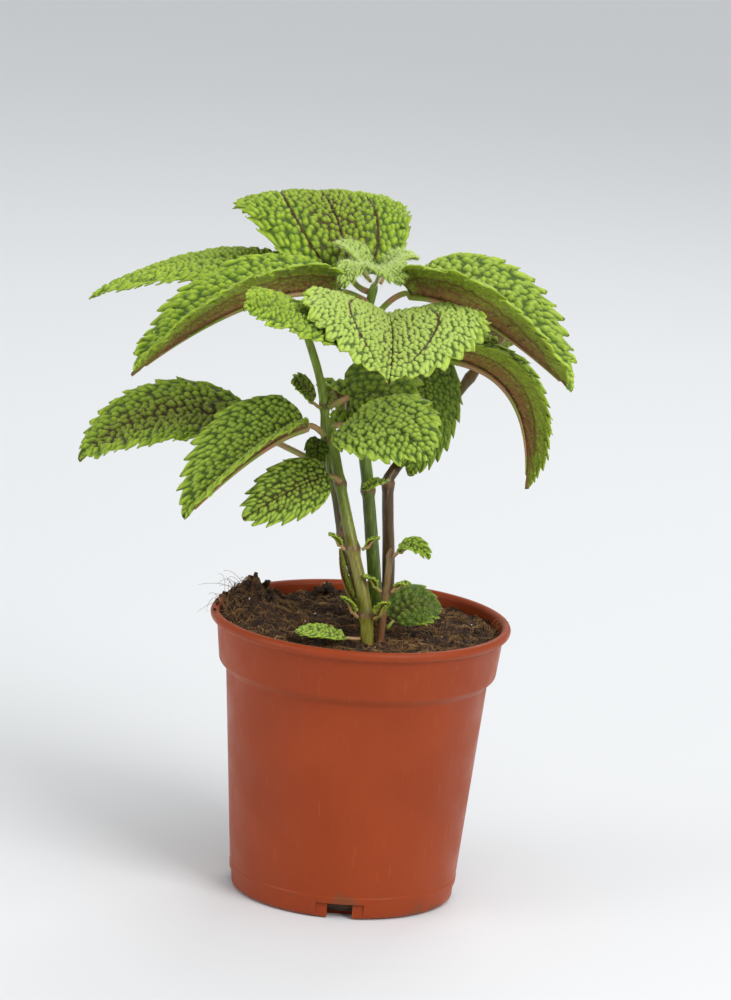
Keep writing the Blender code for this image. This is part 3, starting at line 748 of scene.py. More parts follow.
def root_hair(draw, angle, radius, length):
    """One root: from the soil near the wall, up over the lip and out in loose curls."""
    out = Vector((math.cos(angle), math.sin(angle), 0.0))
    spot = out * radius
    spot.z = soil_height(spot.x, spot.y) - 0.5
    aside = draw.uniform(-ROOT_STRAY, ROOT_STRAY)
    onward = draw.uniform(-ROOT_STRAY, ROOT_STRAY)
    heading = (out * ROOT_OUTWARD + Vector((aside, onward, ROOT_RISE))).normalized()
    curl = Vector((draw.uniform(-1, 1), draw.uniform(-1, 1), draw.uniform(-1.2, 0.2)))
    points = [spot.copy()]
    for k in range(ROOT_STEPS):
        spot = spot + heading * (length / ROOT_STEPS)
        over_pot = spot.xy.length < POT_LIP + 1.5
        if over_pot and spot.z < POT_HEIGHT + ROOT_CLEAR:
            spot.z = max(spot.z, min(POT_HEIGHT + ROOT_CLEAR, points[-1].z + 0.9))
        points.append(spot.copy())
        if k > ROOT_STRAIGHT_STEPS:
            change = Vector((draw.uniform(-1, 1), draw.uniform(-1, 1), draw.uniform(-1, 0.7)))
            curl += change * ROOT_WANDER
        heading = (heading + curl * ROOT_BEND + out * ROOT_PULL).normalized()
    return strand(points, ROOT_THICKNESS)


draw = random.Random(21)
roots = []
# For each lot: how many, their middle angle and spread, and their greatest length.
for count, middle, spread, length in (
    (26, 172.0, 26.0, 20.0),
    (8, -6.0, 16.0, 14.0),
    (5, 100.0, 40.0, 9.0),
):
    for k in range(count):
        angle = math.radians(draw.gauss(middle, spread * 0.6))
        radius = draw.uniform(ROOT_NEAREST, ROOT_FURTHEST)
        roots.append(root_hair(draw, angle, radius, length * draw.uniform(0.4, 1.1)))
root_hairs = piece("root_hairs", *gathered(roots), FIBRE)
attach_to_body(root_hairs, "root")


# The stems: five round juicy shoots with swollen joints, rooted in the soil. The front and middle ones
# are green, the left one brown below and green above, the right one brown, and the low one reddish.
STEM_FOOT = 94.0
STEM_STEP = 1.6
STEM_SIDES = 20
STEM_TIP_SHARE = 0.35
STEM_RIDGES = 4
RIDGE_RISE = 0.035
RIDGE_TWIST = 0.04
STEM_WAVE = 0.05
STEM_WAVE_SIZE = 9.0
JOINT_SWELL = 1.3
JOINT_HALF = 3.6
CAD_STEM_STEP = 9.0


def smooth_course(course, step):
    """A rounded line through the course's points, at about the given spacing."""
    spots = [Vector(p) for p in course]
    padded = [spots[0] * 2 - spots[1]] + spots + [spots[-1] * 2 - spots[-2]]
    line = []
    for k in range(1, len(padded) - 2):
        before, start, end, after = padded[k - 1:k + 3]
        pieces = max(1, round((end - start).length / step))
        for i in range(pieces):
            t = i / pieces
            line.append(0.5 * (2 * start + (end - before) * t
                               + (2 * before - 5 * start + 4 * end - after) * t * t
                               + (3 * start - before - 3 * end + after) * t ** 3))
    line.append(spots[-1])
    return line


class Stem:
    """One stem: its axis, its taper and the heights of its swollen joints."""

    def __init__(self, name, course, thick, thin, joints):
        self.name = name
        self.course = course
        self.axis = smooth_course(course, CAD_STEM_STEP)
        self.thick = thick
        self.thin = thin
        self.joints = joints

    def spot(self, height):
        """Point and direction of the axis at a height."""
        low = self.axis[0]
        for high in self.axis[1:]:
            if high.z >= height:
                break
            low = high
        if high.z <= low.z:
            return high, (self.axis[-1] - self.axis[-2]).normalized()
        share = min(1.0, (height - low.z) / (high.z - low.z))
        return low.lerp(high, share), (high - low).normalized()

    def radius(self, height):
        """Half the stem's thickness at a height."""
        share = (height - self.axis[0].z) / (self.axis[-1].z - self.axis[0].z)
        radius = self.thick + (self.thin - self.thick) * max(0.0, min(1.0, share))
        for joint in self.joints:
            reach = abs(height - joint) / JOINT_HALF
            if reach < 1.0:
                radius *= 1.0 + (JOINT_SWELL - 1.0) * (0.5 + 0.5 * math.cos(math.pi * reach)) ** 1.5
        return radius

    def shape(self):
        """Points and faces of the stem, round and slightly uneven, with a rounded end."""
        line = smooth_course(self.course, STEM_STEP)
        rings = []
        for k, centre in enumerate(line):
            along = (line[min(k + 1, len(line) - 1)] - line[max(k - 1, 0)]).normalized()
            across = (Vector((1, 0, 0)) - along * along.x).normalized()
            behind = along.cross(across)
            end = min(1.0, (len(line) - 1 - k) / 2.0)
            base = self.radius(centre.z) * (STEM_TIP_SHARE + (1.0 - STEM_TIP_SHARE) * math.sqrt(end))
            ring = []
            for s in range(STEM_SIDES):
                angle = 2 * math.pi * s / STEM_SIDES
                ridge = 1.0 + RIDGE_RISE * math.cos(STEM_RIDGES * angle + RIDGE_TWIST * centre.z)
                around = Vector((math.cos(angle), math.sin(angle), 0.0))
                wave = noise.noise(centre / STEM_WAVE_SIZE + around)
                radius = base * ridge * (1.0 + STEM_WAVE * wave)
                beside = across * radius * math.cos(angle)
                ring.append(centre + beside + behind * radius * math.sin(angle))
            rings.append(ring)
        return tube(rings)


STEMS = {
    stem.name: stem
    for stem in (
        Stem("stem_front", [(3.5, -30, STEM_FOOT), (2, -28, 120), (-5, -22, 145), (-12, -14, 169),
                            (-16, -10, 185), (-18, -8, 194)], 2.8, 1.8, (120, 145, 169, 185)),
        Stem("stem_left", [(4, 1, STEM_FOOT), (2, 0, 113), (-9, -2, 144), (-13, -1, 160), (-19, 1, 183),
                           (-20.5, 2, 196), (-24, 3, 210), (-31, 4, 228)], 2.2, 1.6, (146, 196)),
        Stem("stem_middle", [(8, 8, STEM_FOOT), (6, 7, 114), (-1, 4, 164), (-3.5, 4, 180), (-7, 4, 219),
                             (-6.5, 4, 232), (-4, 4, 247)], 2.9, 1.8, (163, 218, 233)),
        Stem("stem_right", [(11, 17, STEM_FOOT), (9.5, 15, 130), (7, 12.5, 162), (8.5, 14, 169),
                            (17, 21, 180), (31, 30, 198), (50, 35, 226), (54, 36, 232)],
             2.7, 1.7, (164, 206)),
        Stem("stem_low", [(8.2, -25, STEM_FOOT), (8.2, -25, 110), (9, -25, 127), (9.7, -24.5, 147)],
             1.6, 1.2, (129, 144)),
    )
}
JOINT_BROWN = (0.15, 0.075, 0.025)


def stem_finish(name, below, above, change, joints):
    """Smooth bark: one colour below a height and another above it, streaked, with brown joints."""
    material, tree, shader = finish(name, 0.42)
    place = object_place(tree)
    height = attach(tree, "ShaderNodeSeparateXYZ", {0: place}).outputs["Z"]
    uneven = maths(tree, "ADD", height, maths(tree, "MULTIPLY", cloud(tree, place, 90.0), 0.02))
    colour = mixed(tree, between(tree, uneven, (change - 10) * MM, (change + 25) * MM), below, above)
    tall = attach(tree, "ShaderNodeMapping", {"Vector": place, "Scale": (1400.0, 1400.0, 90.0)})
    streak = cloud(tree, tall.outputs[0], 1.0)
    darker = tuple(c * 0.45 for c in below)
    colour = mixed(tree, between(tree, streak, 0.5, 0.75, 0.0, 0.7), colour, darker)
    paler = tuple(c * 1.5 + 0.02 for c in above)
    colour = mixed(tree, between(tree, streak, 0.45, 0.3, 0.0, 0.5), colour, paler)
    for joint in joints:
        away = maths(tree, "ABSOLUTE", maths(tree, "SUBTRACT", height, (joint + 0.6) * MM))
        colour = mixed(tree, between(tree, away, 0.0018, 0.0004, 0.0, 0.75), colour, JOINT_BROWN)
    tree.links.new(colour, shader.inputs["Base Color"])
    tree.links.new(fine_relief(tree, streak, 0.35, 0.0003), shader.inputs["Normal"])
    return material


# For each stem: its colours below and above, the height where they meet, and its material slot.
for name, below, above, change, slot in (
    ("stem_front", (0.17, 0.15, 0.010), (0.15, 0.22, 0.012), 158.0, "stem_green"),
    ("stem_left", (0.065, 0.034, 0.006), (0.19, 0.28, 0.015), 172.0, "stem_brown"),
    ("stem_middle", (0.065, 0.10, 0.003), (0.15, 0.25, 0.015), 175.0, "stem_green"),
    ("stem_right", (0.070, 0.034, 0.005), (0.15, 0.10, 0.025), 190.0, "stem_brown"),
    ("stem_low", (0.19, 0.075, 0.03), (0.20, 0.13, 0.035), 125.0, "stem_brown"),
):
    stem = STEMS[name]
    look = stem_finish(name + "_bark", below, above, change, stem.joints)
    shoot = piece(name.replace("stem", "shoot"), *stem.shape(), look)
    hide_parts(name)
    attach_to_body(shoot, "root")


# The leaves: thin quilted blades with toothed margins, each grown on its stem by its own stalk. The
# upper face swells into rows of rounded bumps, lime on top, with short silvery hairs. Its seams are
# the leaf's own brown on brown leaves and painted dark green shade on the others; a painted silvery
# sheen of the hairs, and painted shade over leaves that lie in others' shade, are laid on as colour.
# The lower face shows the veins as a brownish net and the midrib as a keel.
BLADE = 0.5
MESH_STEP = 0.72
USUAL_CELL = 2.6
MIDRIB_SPREAD = 0.75
LATERAL_PLACE = 0.5
LATERAL_SPREAD = 0.7
SIDE_VEIN_SPREAD = 0.4
HEART_SPREAD = 0.42
MARGIN_START = 0.86
MARGIN_WAVE = 0.09
BUMP_SHARE = 0.74
BUMP_JITTER = 0.7
BUMP_REACH = 0.8
BUMP_POINT = 1.4
SEAM_DEPTH = 0.75
SIDE_VEIN_ROWS = 3
NET_SHIFT = 7
TOOTH_SPACING = 5.4
FEWEST_TEETH = 5
TOOTH_START = 0.72
TOOTH_CENTRE = 0.45
TOOTH_SHARE = 0.11
TOOTH_TIP = 0.74
TOOTH_DEPTH = 3.0
TOOTH_LEAN = 0.6
STALK_RADIUS = 1.15
SMALL_STALK_RADIUS = 0.65
STALK_SIDES = 10
STALK_STEP = 1.5
STALK_SWELL = 0.12
KEEL_STEP = 2.5
KEEL_END = 0.97
KEEL_TAPER = 0.8
KEEL_SINK = 0.9
VEIN_SLANT = 0.13
BASE_LOBE = 0.04
LOBE_REACH = 0.08
OUTLINE_BASE = 0.5
OUTLINE_TIP = 1.1
LEAF_GAP = 0.45
HAIR_DENSITY = 420000.0
HAIR_LENGTH = 1.0
HAIR_THICKNESS = 0.036
HAIR_SWAY = 0.6
HAIR_SHORTEST = 0.5
HAIR_LONGEST = 1.3


def outline(t):
    """Half the blade's width at a share t of its length, as a share of its greatest."""
    widest = OUTLINE_BASE / (OUTLINE_BASE + OUTLINE_TIP)
    greatest = widest ** OUTLINE_BASE * (1 - widest) ** OUTLINE_TIP
    return t ** OUTLINE_BASE * (1 - t) ** OUTLINE_TIP / greatest


def ahead(t):
    """How far the margin lies before its vein's root: forwards, and back at the base's lobes."""
    lobe = (t - LOBE_REACH) / LOBE_REACH
    return VEIN_SLANT * math.sin(math.pi * t) - BASE_LOBE * math.exp(-lobe * lobe)


def step_up(low, high, value):
    """0 below low, 1 above high, and smooth between them."""
    share = max(0.0, min(1.0, (value - low) / (high - low)))
    return share * share * (3 - 2 * share)


class Leaf:
    """One leaf: its blade along an arched midrib, and the stalk that runs on under it as a keel."""

    def __init__(self, name, base, middle, tip, width, stem, height, roll=0.0, fold=10.0, curl=20.0,
                 small=False, cell=USUAL_CELL, brown=0.3, pale_and_sheen=0.0, dark=0.0, ribs=0.35, dry=0.0):
        self.name = name
        self.base = Vector(base)
        self.tip = Vector(tip)
        self.control = Vector(middle) * 2 - (self.base + self.tip) / 2
        self.half = width / 2
        bent_way = (self.control - self.base).length + (self.tip - self.control).length
        self.length = (bent_way + (self.tip - self.base).length) / 2
        self.stem = STEMS[stem]
        self.height = height
        self.roll = math.radians(roll)
        self.fold = math.radians(fold)
        self.curl = math.radians(curl)
        self.stalk = SMALL_STALK_RADIUS if small else STALK_RADIUS
        self.cell = cell
        self.brown = brown
        # How much painted silvery sheen of the hairs lies on the leaf, together with its own paleness.
        self.pale_and_sheen = pale_and_sheen
        # How much painted shade lies over the whole leaf, where it sits in the shade of others.
        self.dark = dark
        self.ribs = ribs
        self.dry = dry
        self.level = (self.tip - self.base).cross(Vector((0, 0, 1))).normalized()

    def frame(self, t):
        """Point of the midrib at t, with the directions along, across and out of the upper face."""
        t = max(0.0, min(1.0, t))
        point = self.base * (1 - t) ** 2 + self.control * 2 * t * (1 - t) + self.tip * t * t
        along = ((self.control - self.base) * (1 - t) + (self.tip - self.control) * t).normalized()
        out = self.level.cross(along).normalized()
        across = along.cross(out)
        upper = out * math.cos(self.roll) + across * math.sin(self.roll)
        return point, along, along.cross(upper), upper

    def spot(self, t, side, reach, forward=0.0):
        """Point of the blade: on the vein from t, at a share of its way to one margin."""
        half = max(self.half * outline(t), 0.9 * self.stalk)
        point, along, across, upper = self.frame(t + ahead(t) * reach + forward)
        if self.curl == 0.0:
            sideways = reach * math.cos(self.fold)
            upwards = reach * math.sin(self.fold)
        else:
            angle = self.fold - self.curl * reach
            sideways = (math.sin(self.fold) - math.sin(angle)) / self.curl
            upwards = (math.cos(angle) - math.cos(self.fold)) / self.curl
        return point + across * (side * half * sideways) + upper * (half * upwards)

    def tooth(self, t):
        """How far the margin stands out at t, in shares of half the width, and how far forwards."""
        teeth = max(FEWEST_TEETH, round(self.length / TOOTH_SPACING))
        place = (t * teeth) % 1.0
        rise = place / TOOTH_TIP if place < TOOTH_TIP else (1.0 - place) / (1.0 - TOOTH_TIP)
        fade = min(1.0, 8.0 * t, 5.0 * (1.0 - t))
        depth = min(TOOTH_SHARE, TOOTH_DEPTH / max(self.half * outline(t), 1.0)) * fade
        return depth * (rise - TOOTH_CENTRE), TOOTH_LEAN * rise * fade / teeth

    def sheet(self):
        """The blade's middle surface as a fine net, with what each point's relief and colour need."""
        teeth = max(FEWEST_TEETH, round(self.length / TOOTH_SPACING))
        rows = teeth * max(4, round(self.length / MESH_STEP / teeth))
        columns = max(4, round(self.half / MESH_STEP))
        points = []
        marks = []
        for i in range(rows):
            t = i / rows
            across_here = self.half * outline(t)
            out, forward = self.tooth(t)
            for j in range(-columns, columns + 1):
                reach = abs(j) / columns
                side = 1 if j > 0 else -1
                edge = step_up(TOOTH_START, 1.0, reach)
                ripple = noise.noise(Vector((t * 9.0, side * 3.0, self.height)))
                wave = MARGIN_WAVE * self.half * edge * ripple
                spot = self.spot(t, side, reach + out * edge, forward * edge)
                points.append(spot + self.frame(t)[3] * wave)
                marks.append(self.marks(t, side * reach, across_here))
        tip = len(points)
        points.append(self.tip.copy())
        marks.append(self.marks(1.0, 0.0, 0.0))
        wide = 2 * columns + 1
        faces = []
        for i in range(rows - 1):
            for j in range(wide - 1):
                a = i * wide + j
                faces.append((a, a + 1, a + wide + 1, a + wide))
        for j in range(wide - 1):
            a = (rows - 1) * wide + j
            faces.append((a, a + 1, tip))
        return points, faces, marks

    def marks(self, t, reach, half):
        """Values that go with a point: its place in the net of bumps, its relief and its colours."""
        away = abs(reach) * half
        ease = self.cell / USUAL_CELL
        main = math.exp(-(away / (MIDRIB_SPREAD * ease)) ** 2)
        beside = (abs(reach) - LATERAL_PLACE) * half
        lateral = math.exp(-(beside / (LATERAL_SPREAD * ease)) ** 2) * step_up(0.92, 0.7, t)
        rows = t * self.length / self.cell
        between_veins = abs((rows / SIDE_VEIN_ROWS + 0.5) % 1.0 - 0.5) * SIDE_VEIN_ROWS * self.cell
        side_vein = 0.55 * math.exp(-(between_veins / (SIDE_VEIN_SPREAD * ease)) ** 2)
        vein = max(main, 0.8 * lateral, side_vein * step_up(1.0, 0.8, abs(reach)))
        edge = step_up(MARGIN_START, 1.0, abs(reach))
        relief = (1.0 - 0.45 * edge) * (1.0 - 0.8 * max(main, 0.8 * lateral)) * step_up(0.0, 0.06, t)
        heart = math.exp(-(abs(reach) / HEART_SPREAD) ** 2) * step_up(0.0, 0.1, t)
        heart *= step_up(1.0, 0.75, t)
        brown = min(1.0, self.brown * (0.35 + 1.1 * heart))
        return {
            "net": (rows, reach * half / self.cell, 0.0),
            "relief": relief * step_up(0.0, 0.05, 1 - t),
            "vein": vein,
            "edge": edge,
            "heart": heart,
            "brown": brown * (1 - edge),
            "ribs": self.ribs * max(main, lateral),
            "dry": self.dry * step_up(0.965, 0.99, t),
            # Share of painted silvery hair sheen, partly the leaf's own paleness.
            "pale_and_sheen": self.pale_and_sheen,
            # Share of painted shade over the whole leaf.
            "dark": self.dark,
        }

    def keel(self):
        """The stalk from just off the stem to the blade, and on under the midrib to the tip."""
        point, along, across, upper = self.frame(0.0)
        origin, up_stem = self.stem.spot(self.height)
        aim = point - along * (0.45 * (point - origin).length) - origin
        out = (aim - up_stem * aim.dot(up_stem)).normalized()
        start = aim.normalized()
        lean = start.dot(up_stem)
        clear = self.stem.radius(self.height) + LEAF_GAP + self.stalk * abs(lean)
        rise = clear * lean / max(0.3, start.dot(out))
        foot = origin + out * clear + up_stem * max(-1.0, min(1.5, rise))
        bend = point - along * (0.4 * (point - foot).length)
        line = []
        radii = []
        steps = max(4, round((point - foot).length / STALK_STEP))
        for k in range(steps):
            t = k / steps
            line.append(foot * (1 - t) ** 2 + bend * 2 * t * (1 - t) + point * t * t)
            radii.append(self.stalk * (1.0 + STALK_SWELL - STALK_SWELL * t))
        steps = max(6, round(self.length / KEEL_STEP))
        for k in range(steps):
            t = k / steps * KEEL_END
            point, along, across, upper = self.frame(t)
            radius = self.stalk * (0.95 * (1 - t) ** KEEL_TAPER + 0.12)
            line.append(point - upper * (radius * KEEL_SINK + SEAM_DEPTH * self.cell / USUAL_CELL))
            radii.append(radius)
        rings = []
        for k, centre in enumerate(line):
            along = (line[min(k + 1, len(line) - 1)] - line[max(k - 1, 0)]).normalized()
            sideways = (across - along * across.dot(along)).normalized()
            top = sideways.cross(along)
            ring = []
            for s in range(STALK_SIDES):
                angle = -2 * math.pi * s / STALK_SIDES
                ring.append(centre + (sideways * math.cos(angle) + top * math.sin(angle)) * radii[k])
            rings.append(ring)
        return tube(rings)


def domes(tree, net, jitter):
    """The bumps of the net: how high a spot lies on its bump, 0 in the seams and 1 on top, and a
    colour that is the bump's own."""
    cells = attach(tree, "ShaderNodeTexVoronoi", {"Vector": net, "Scale": 1.0, "Randomness": jitter},
                   voronoi_dimensions="2D", feature="F1")
    share = between(tree, cells.outputs["Distance"], BUMP_REACH, 0.0)
    return maths(tree, "POWER", share, BUMP_POINT), cells.outputs["Color"]


def quilting_tree():
    """Raise the rows of bumps between the veins, and sink the veins."""
    tree, given, result = geometry_tree("Quilting", Height=0.0009, Seam=SEAM_DEPTH * MM,
                                        Jitter=BUMP_JITTER)

    def named(label, kind="FLOAT"):
        return attach(tree, "GeometryNodeInputNamedAttribute", {0: label}, data_type=kind).outputs[0]

    net = named("net", "FLOAT_VECTOR")
    uneven = maths(tree, "ADD", 0.62, maths(tree, "MULTIPLY", cloud(tree, net, 0.45, 2.0), 0.7))
    dome = maths(tree, "MULTIPLY", domes(tree, net, given["Jitter"])[0], uneven)
    bump = maths(tree, "MULTIPLY", dome, named("relief"))
    rise = maths(tree, "SUBTRACT", maths(tree, "MULTIPLY", bump, given["Height"]),
                 maths(tree, "MULTIPLY", named("vein"), given["Seam"]))
    normal = attach(tree, "GeometryNodeInputNormal").outputs[0]
    moved = attach(tree, "GeometryNodeSetPosition", {"Geometry": given["Geometry"],
                                                     "Offset": vectors(tree, "SCALE", normal, rise)})
    tree.links.new(moved.outputs[0], result)
    return tree


def hair_tree():
    """Add short hairs that lean off the blade's surface in all directions."""
    tree, given, result = geometry_tree("Hairs", Density=HAIR_DENSITY, Length=HAIR_LENGTH * MM,
                                        Thickness=HAIR_THICKNESS * MM, Seed=1, Finish=None)
    scatter = attach(tree, "GeometryNodeDistributePointsOnFaces",
                     {"Mesh": given["Geometry"], "Density": given["Density"], "Seed": given["Seed"]})
    sway = attach(tree, "FunctionNodeRandomValue",
                  {0: (-HAIR_SWAY,) * 3, 1: (HAIR_SWAY,) * 3, "Seed": 3}, data_type="FLOAT_VECTOR")
    lean = vectors(tree, "ADD", scatter.outputs["Normal"], sway.outputs[0])
    turn = attach(tree, "FunctionNodeAlignRotationToVector", {"Vector": lean}, axis="Z")
    hair = attach(tree, "GeometryNodeMeshCone", {"Vertices": 3, "Radius Top": 0.0,
                                                 "Radius Bottom": given["Thickness"],
                                                 "Depth": given["Length"]}, fill_type="NGON")
    size = attach(tree, "FunctionNodeRandomValue", {2: HAIR_SHORTEST, 3: HAIR_LONGEST, "Seed": 6})
    hairs = planted(tree, scatter.outputs["Points"], hair.outputs[0], turn.outputs[0],
                    size.outputs[1], given["Finish"])
    joined = attach(tree, "GeometryNodeJoinGeometry")
    tree.links.new(hairs, joined.inputs[0])
    tree.links.new(given["Geometry"], joined.inputs[0])
    tree.links.new(joined.outputs[0], result)
    return tree


LIME = (0.385, 0.525, 0.030)
LEAF_MIDDLE = (0.17, 0.29, 0.010)
# Painted shade: the dark green laid in the seams and sunken veins, where the relief lies in shade.
PAINTED_SEAM_SHADE = (0.045, 0.10, 0.002)
LEAF_BROWN = (0.052, 0.022, 0.004)
VEIN_BROWN = (0.060, 0.018, 0.005)
# Painted sheen: the silvery shine of the hairs laid on as colour, partly the young leaves' own
# paleness.
PAINTED_SILVER_SHEEN = (0.50, 0.65, 0.14)
# Painted shade: laid over whole leaves that sit in the shade of other leaves.
PAINTED_LEAF_SHADE = (0.050, 0.085, 0.003)
UNDER_GREEN = (0.205, 0.285, 0.018)
UNDER_BROWN = (0.24, 0.125, 0.032)
UNDER_NET = (0.13, 0.040, 0.014)
DRY_BROWN = (0.10, 0.045, 0.012)
KEEL_COLOUR = (0.40, 0.20, 0.10)
HAIR_COLOUR = (0.62, 0.72, 0.32)


def marked(tree, label, output="Fac"):
    """A value stored on the leaf's points."""
    return attach(tree, "ShaderNodeAttribute", attribute_name=label).outputs[output]


def quilt(tree):
    """How high a spot lies on its bump, for a leaf's colours, and how light that bump is."""
    height, own_colour = domes(tree, marked(tree, "net", "Vector"), BUMP_JITTER)
    return height, attach(tree, "ShaderNodeSeparateXYZ", {0: own_colour}).outputs[0]


def upper_finish():
    """The upper face: lime bumps, brown seams on brown leaves and painted dark green shade in the
    others' seams, a lime margin, finely uneven colour, a painted silvery sheen of hairs, and painted
    shade on shaded leaves.
    """
    material, tree, shader = finish("leaf_upper", 0.6, Sheen_Weight=0.04, Specular_IOR_Level=0.35)
    place = object_place(tree)
    patches = cloud(tree, place, 70.0)
    fine = cloud(tree, place, 1500.0, 2.0)
    bump, lightness = quilt(tree)
    lit = between(tree, lightness, 0.0, 1.0, 0.55, 1.0)
    bright = maths(tree, "MULTIPLY", between(tree, bump, 0.3, 0.9), lit)
    colour = mixed(tree, bright, LEAF_MIDDLE, LIME)
    colour = mixed(tree, between(tree, patches, 0.35, 0.75, 0.0, 0.35), colour, LEAF_MIDDLE)
    # Painted shade: leaves that sit in the shade of others are darkened by their dark share.
    colour = mixed(tree, marked(tree, "dark"), colour, PAINTED_LEAF_SHADE)
    # Painted sheen: the silvery shine of the hairs, laid on pale leaves by their share and in fine
    # silver flecks on every leaf; on young leaves it is partly their own paleness.
    colour = mixed(tree, marked(tree, "pale_and_sheen"), colour, PAINTED_SILVER_SHEEN)
    colour = mixed(tree, between(tree, fine, 0.55, 0.8, 0.0, 0.35), colour, PAINTED_SILVER_SHEEN)
    brown = marked(tree, "brown")
    # Painted shade: the seams and sunken veins turn dark green where they would lie in shade; on brown
    # leaves they take the leaf's own brown instead.
    seam = mixed(tree, between(tree, brown, 0.15, 0.6), PAINTED_SEAM_SHADE, LEAF_BROWN)
    level = maths(tree, "SUBTRACT", bump, maths(tree, "MULTIPLY", brown, 0.12))
    colour = mixed(tree, between(tree, level, 0.40, 0.03, 0.0, 0.93), colour, seam)
    colour = mixed(tree, maths(tree, "MULTIPLY", brown, 0.45), colour, LEAF_BROWN)
    colour = mixed(tree, between(tree, marked(tree, "vein"), 0.5, 0.95, 0.0, 0.8), colour, seam)
    colour = mixed(tree, between(tree, marked(tree, "ribs"), 0.15, 0.6, 0.0, 0.95), colour, VEIN_BROWN)
    colour = mixed(tree, between(tree, marked(tree, "edge"), 0.2, 0.95, 0.0, 0.5), colour, LIME)
    colour = mixed(tree, marked(tree, "dry"), colour, DRY_BROWN)
    tree.links.new(colour, shader.inputs["Base Color"])
    rough = fine_relief(tree, fine, 0.3, 0.0003)
    swell = attach(tree, "ShaderNodeBump", {"Height": bump, "Strength": 0.6, "Distance": 0.0010,
                                            "Normal": rough})
    tree.links.new(swell.outputs[0], shader.inputs["Normal"])
    return material


def under_finish():
    """The lower face: light green, with a net of brownish veins and a brown heart by the keel."""
    material, tree, shader = finish("leaf_under", 0.62, Specular_IOR_Level=0.3)
    place = object_place(tree)
    fine = cloud(tree, place, 900.0)
    colour = mixed(tree, between(tree, fine, 0.4, 0.75, 0.0, 0.5), UNDER_GREEN, LIME)
    net = between(tree, quilt(tree)[0], 0.45, 0.05, 0.0, 0.9)
    heart = marked(tree, "heart")
    net = maths(tree, "MULTIPLY", net, between(tree, heart, 0.0, 0.8, 0.25, 1.0))
    colour = mixed(tree, net, colour, UNDER_NET)
    strength = maths(tree, "ADD", 0.25, maths(tree, "MULTIPLY", marked(tree, "brown"), 0.9))
    patches = cloud(tree, place, 160.0)
    warm = maths(tree, "MULTIPLY", between(tree, patches, 0.3, 0.6, 0.5, 1.0), strength)
    warm = maths(tree, "MULTIPLY", between(tree, heart, 0.05, 0.9), warm)
    colour = mixed(tree, warm, colour, UNDER_BROWN)
    ridge = between(tree, marked(tree, "vein"), 0.2, 0.55, 0.0, 0.75)
    colour = mixed(tree, ridge, colour, UNDER_NET)
    colour = mixed(tree, between(tree, marked(tree, "edge"), 0.2, 0.95, 0.0, 0.55), colour, LIME)
    tree.links.new(colour, shader.inputs["Base Color"])
    return material


def keel_finish():
    """The stalk and keel: pinkish green with a soft bloom."""
    material, tree, shader = finish("leaf_keel", 0.5)
    place = object_place(tree)
    colour = mixed(tree, between(tree, cloud(tree, place, 120.0), 0.35, 0.65), UNDER_GREEN, KEEL_COLOUR)
    tree.links.new(colour, shader.inputs["Base Color"])
    return material


def hair_finish():
    """Clear hairs that catch the light."""
    material, _, shader = finish("leaf_hair", 0.35)
    shader.inputs["Base Color"].default_value = (*HAIR_COLOUR, 1.0)
    return material


LEAF_FINISHES = (upper_finish(), under_finish(), keel_finish(), hair_finish())
QUILTING = quilting_tree()
HAIRS = hair_tree()


def grown_leaf(leaf, seed, hairs, hair_length):
    """The finished leaf as one piece: blade, stalk, keel and hairs."""
    points, faces, marks = leaf.sheet()
    blade = piece(leaf.name + "_blade", points, faces, *LEAF_FINISHES)
    for label in ("relief", "vein", "edge", "heart", "brown", "ribs", "dry", "pale_and_sheen", "dark"):
        layer = blade.data.attributes.new(label, "FLOAT", "POINT")
        layer.data.foreach_set("value", [mark[label] for mark in marks])
    net = blade.data.attributes.new("net", "FLOAT_VECTOR", "POINT")
    parts = []
    for mark in marks:
        rows, columns, level = mark["net"]
        parts += [rows + NET_SHIFT * seed, columns, level]
    net.data.foreach_set("vector", parts)
    seam = SEAM_DEPTH * leaf.cell / USUAL_CELL
    grow(blade, QUILTING, Height=leaf.cell * BUMP_SHARE * MM, Seam=seam * MM)
    shell = blade.modifiers.new("shell", "SOLIDIFY")
    shell.thickness = BLADE * MM
    shell.offset = 0.0
    shell.material_offset = 1
    blade = settled(leaf.name + "_shell", blade)
    stalk = piece(leaf.name + "_stalk", *leaf.keel(), *LEAF_FINISHES)
    for polygon in stalk.data.polygons:
        polygon.material_index = 2
    with bpy.context.temp_override(active_object=blade, selected_editable_objects=[blade, stalk]):
        bpy.ops.object.join()
    grow(blade, HAIRS, Finish=LEAF_FINISHES[3], Density=hairs, Length=hair_length * MM, Seed=seed)
    return settled("blade_" + leaf.name.removeprefix("leaf_"), blade)
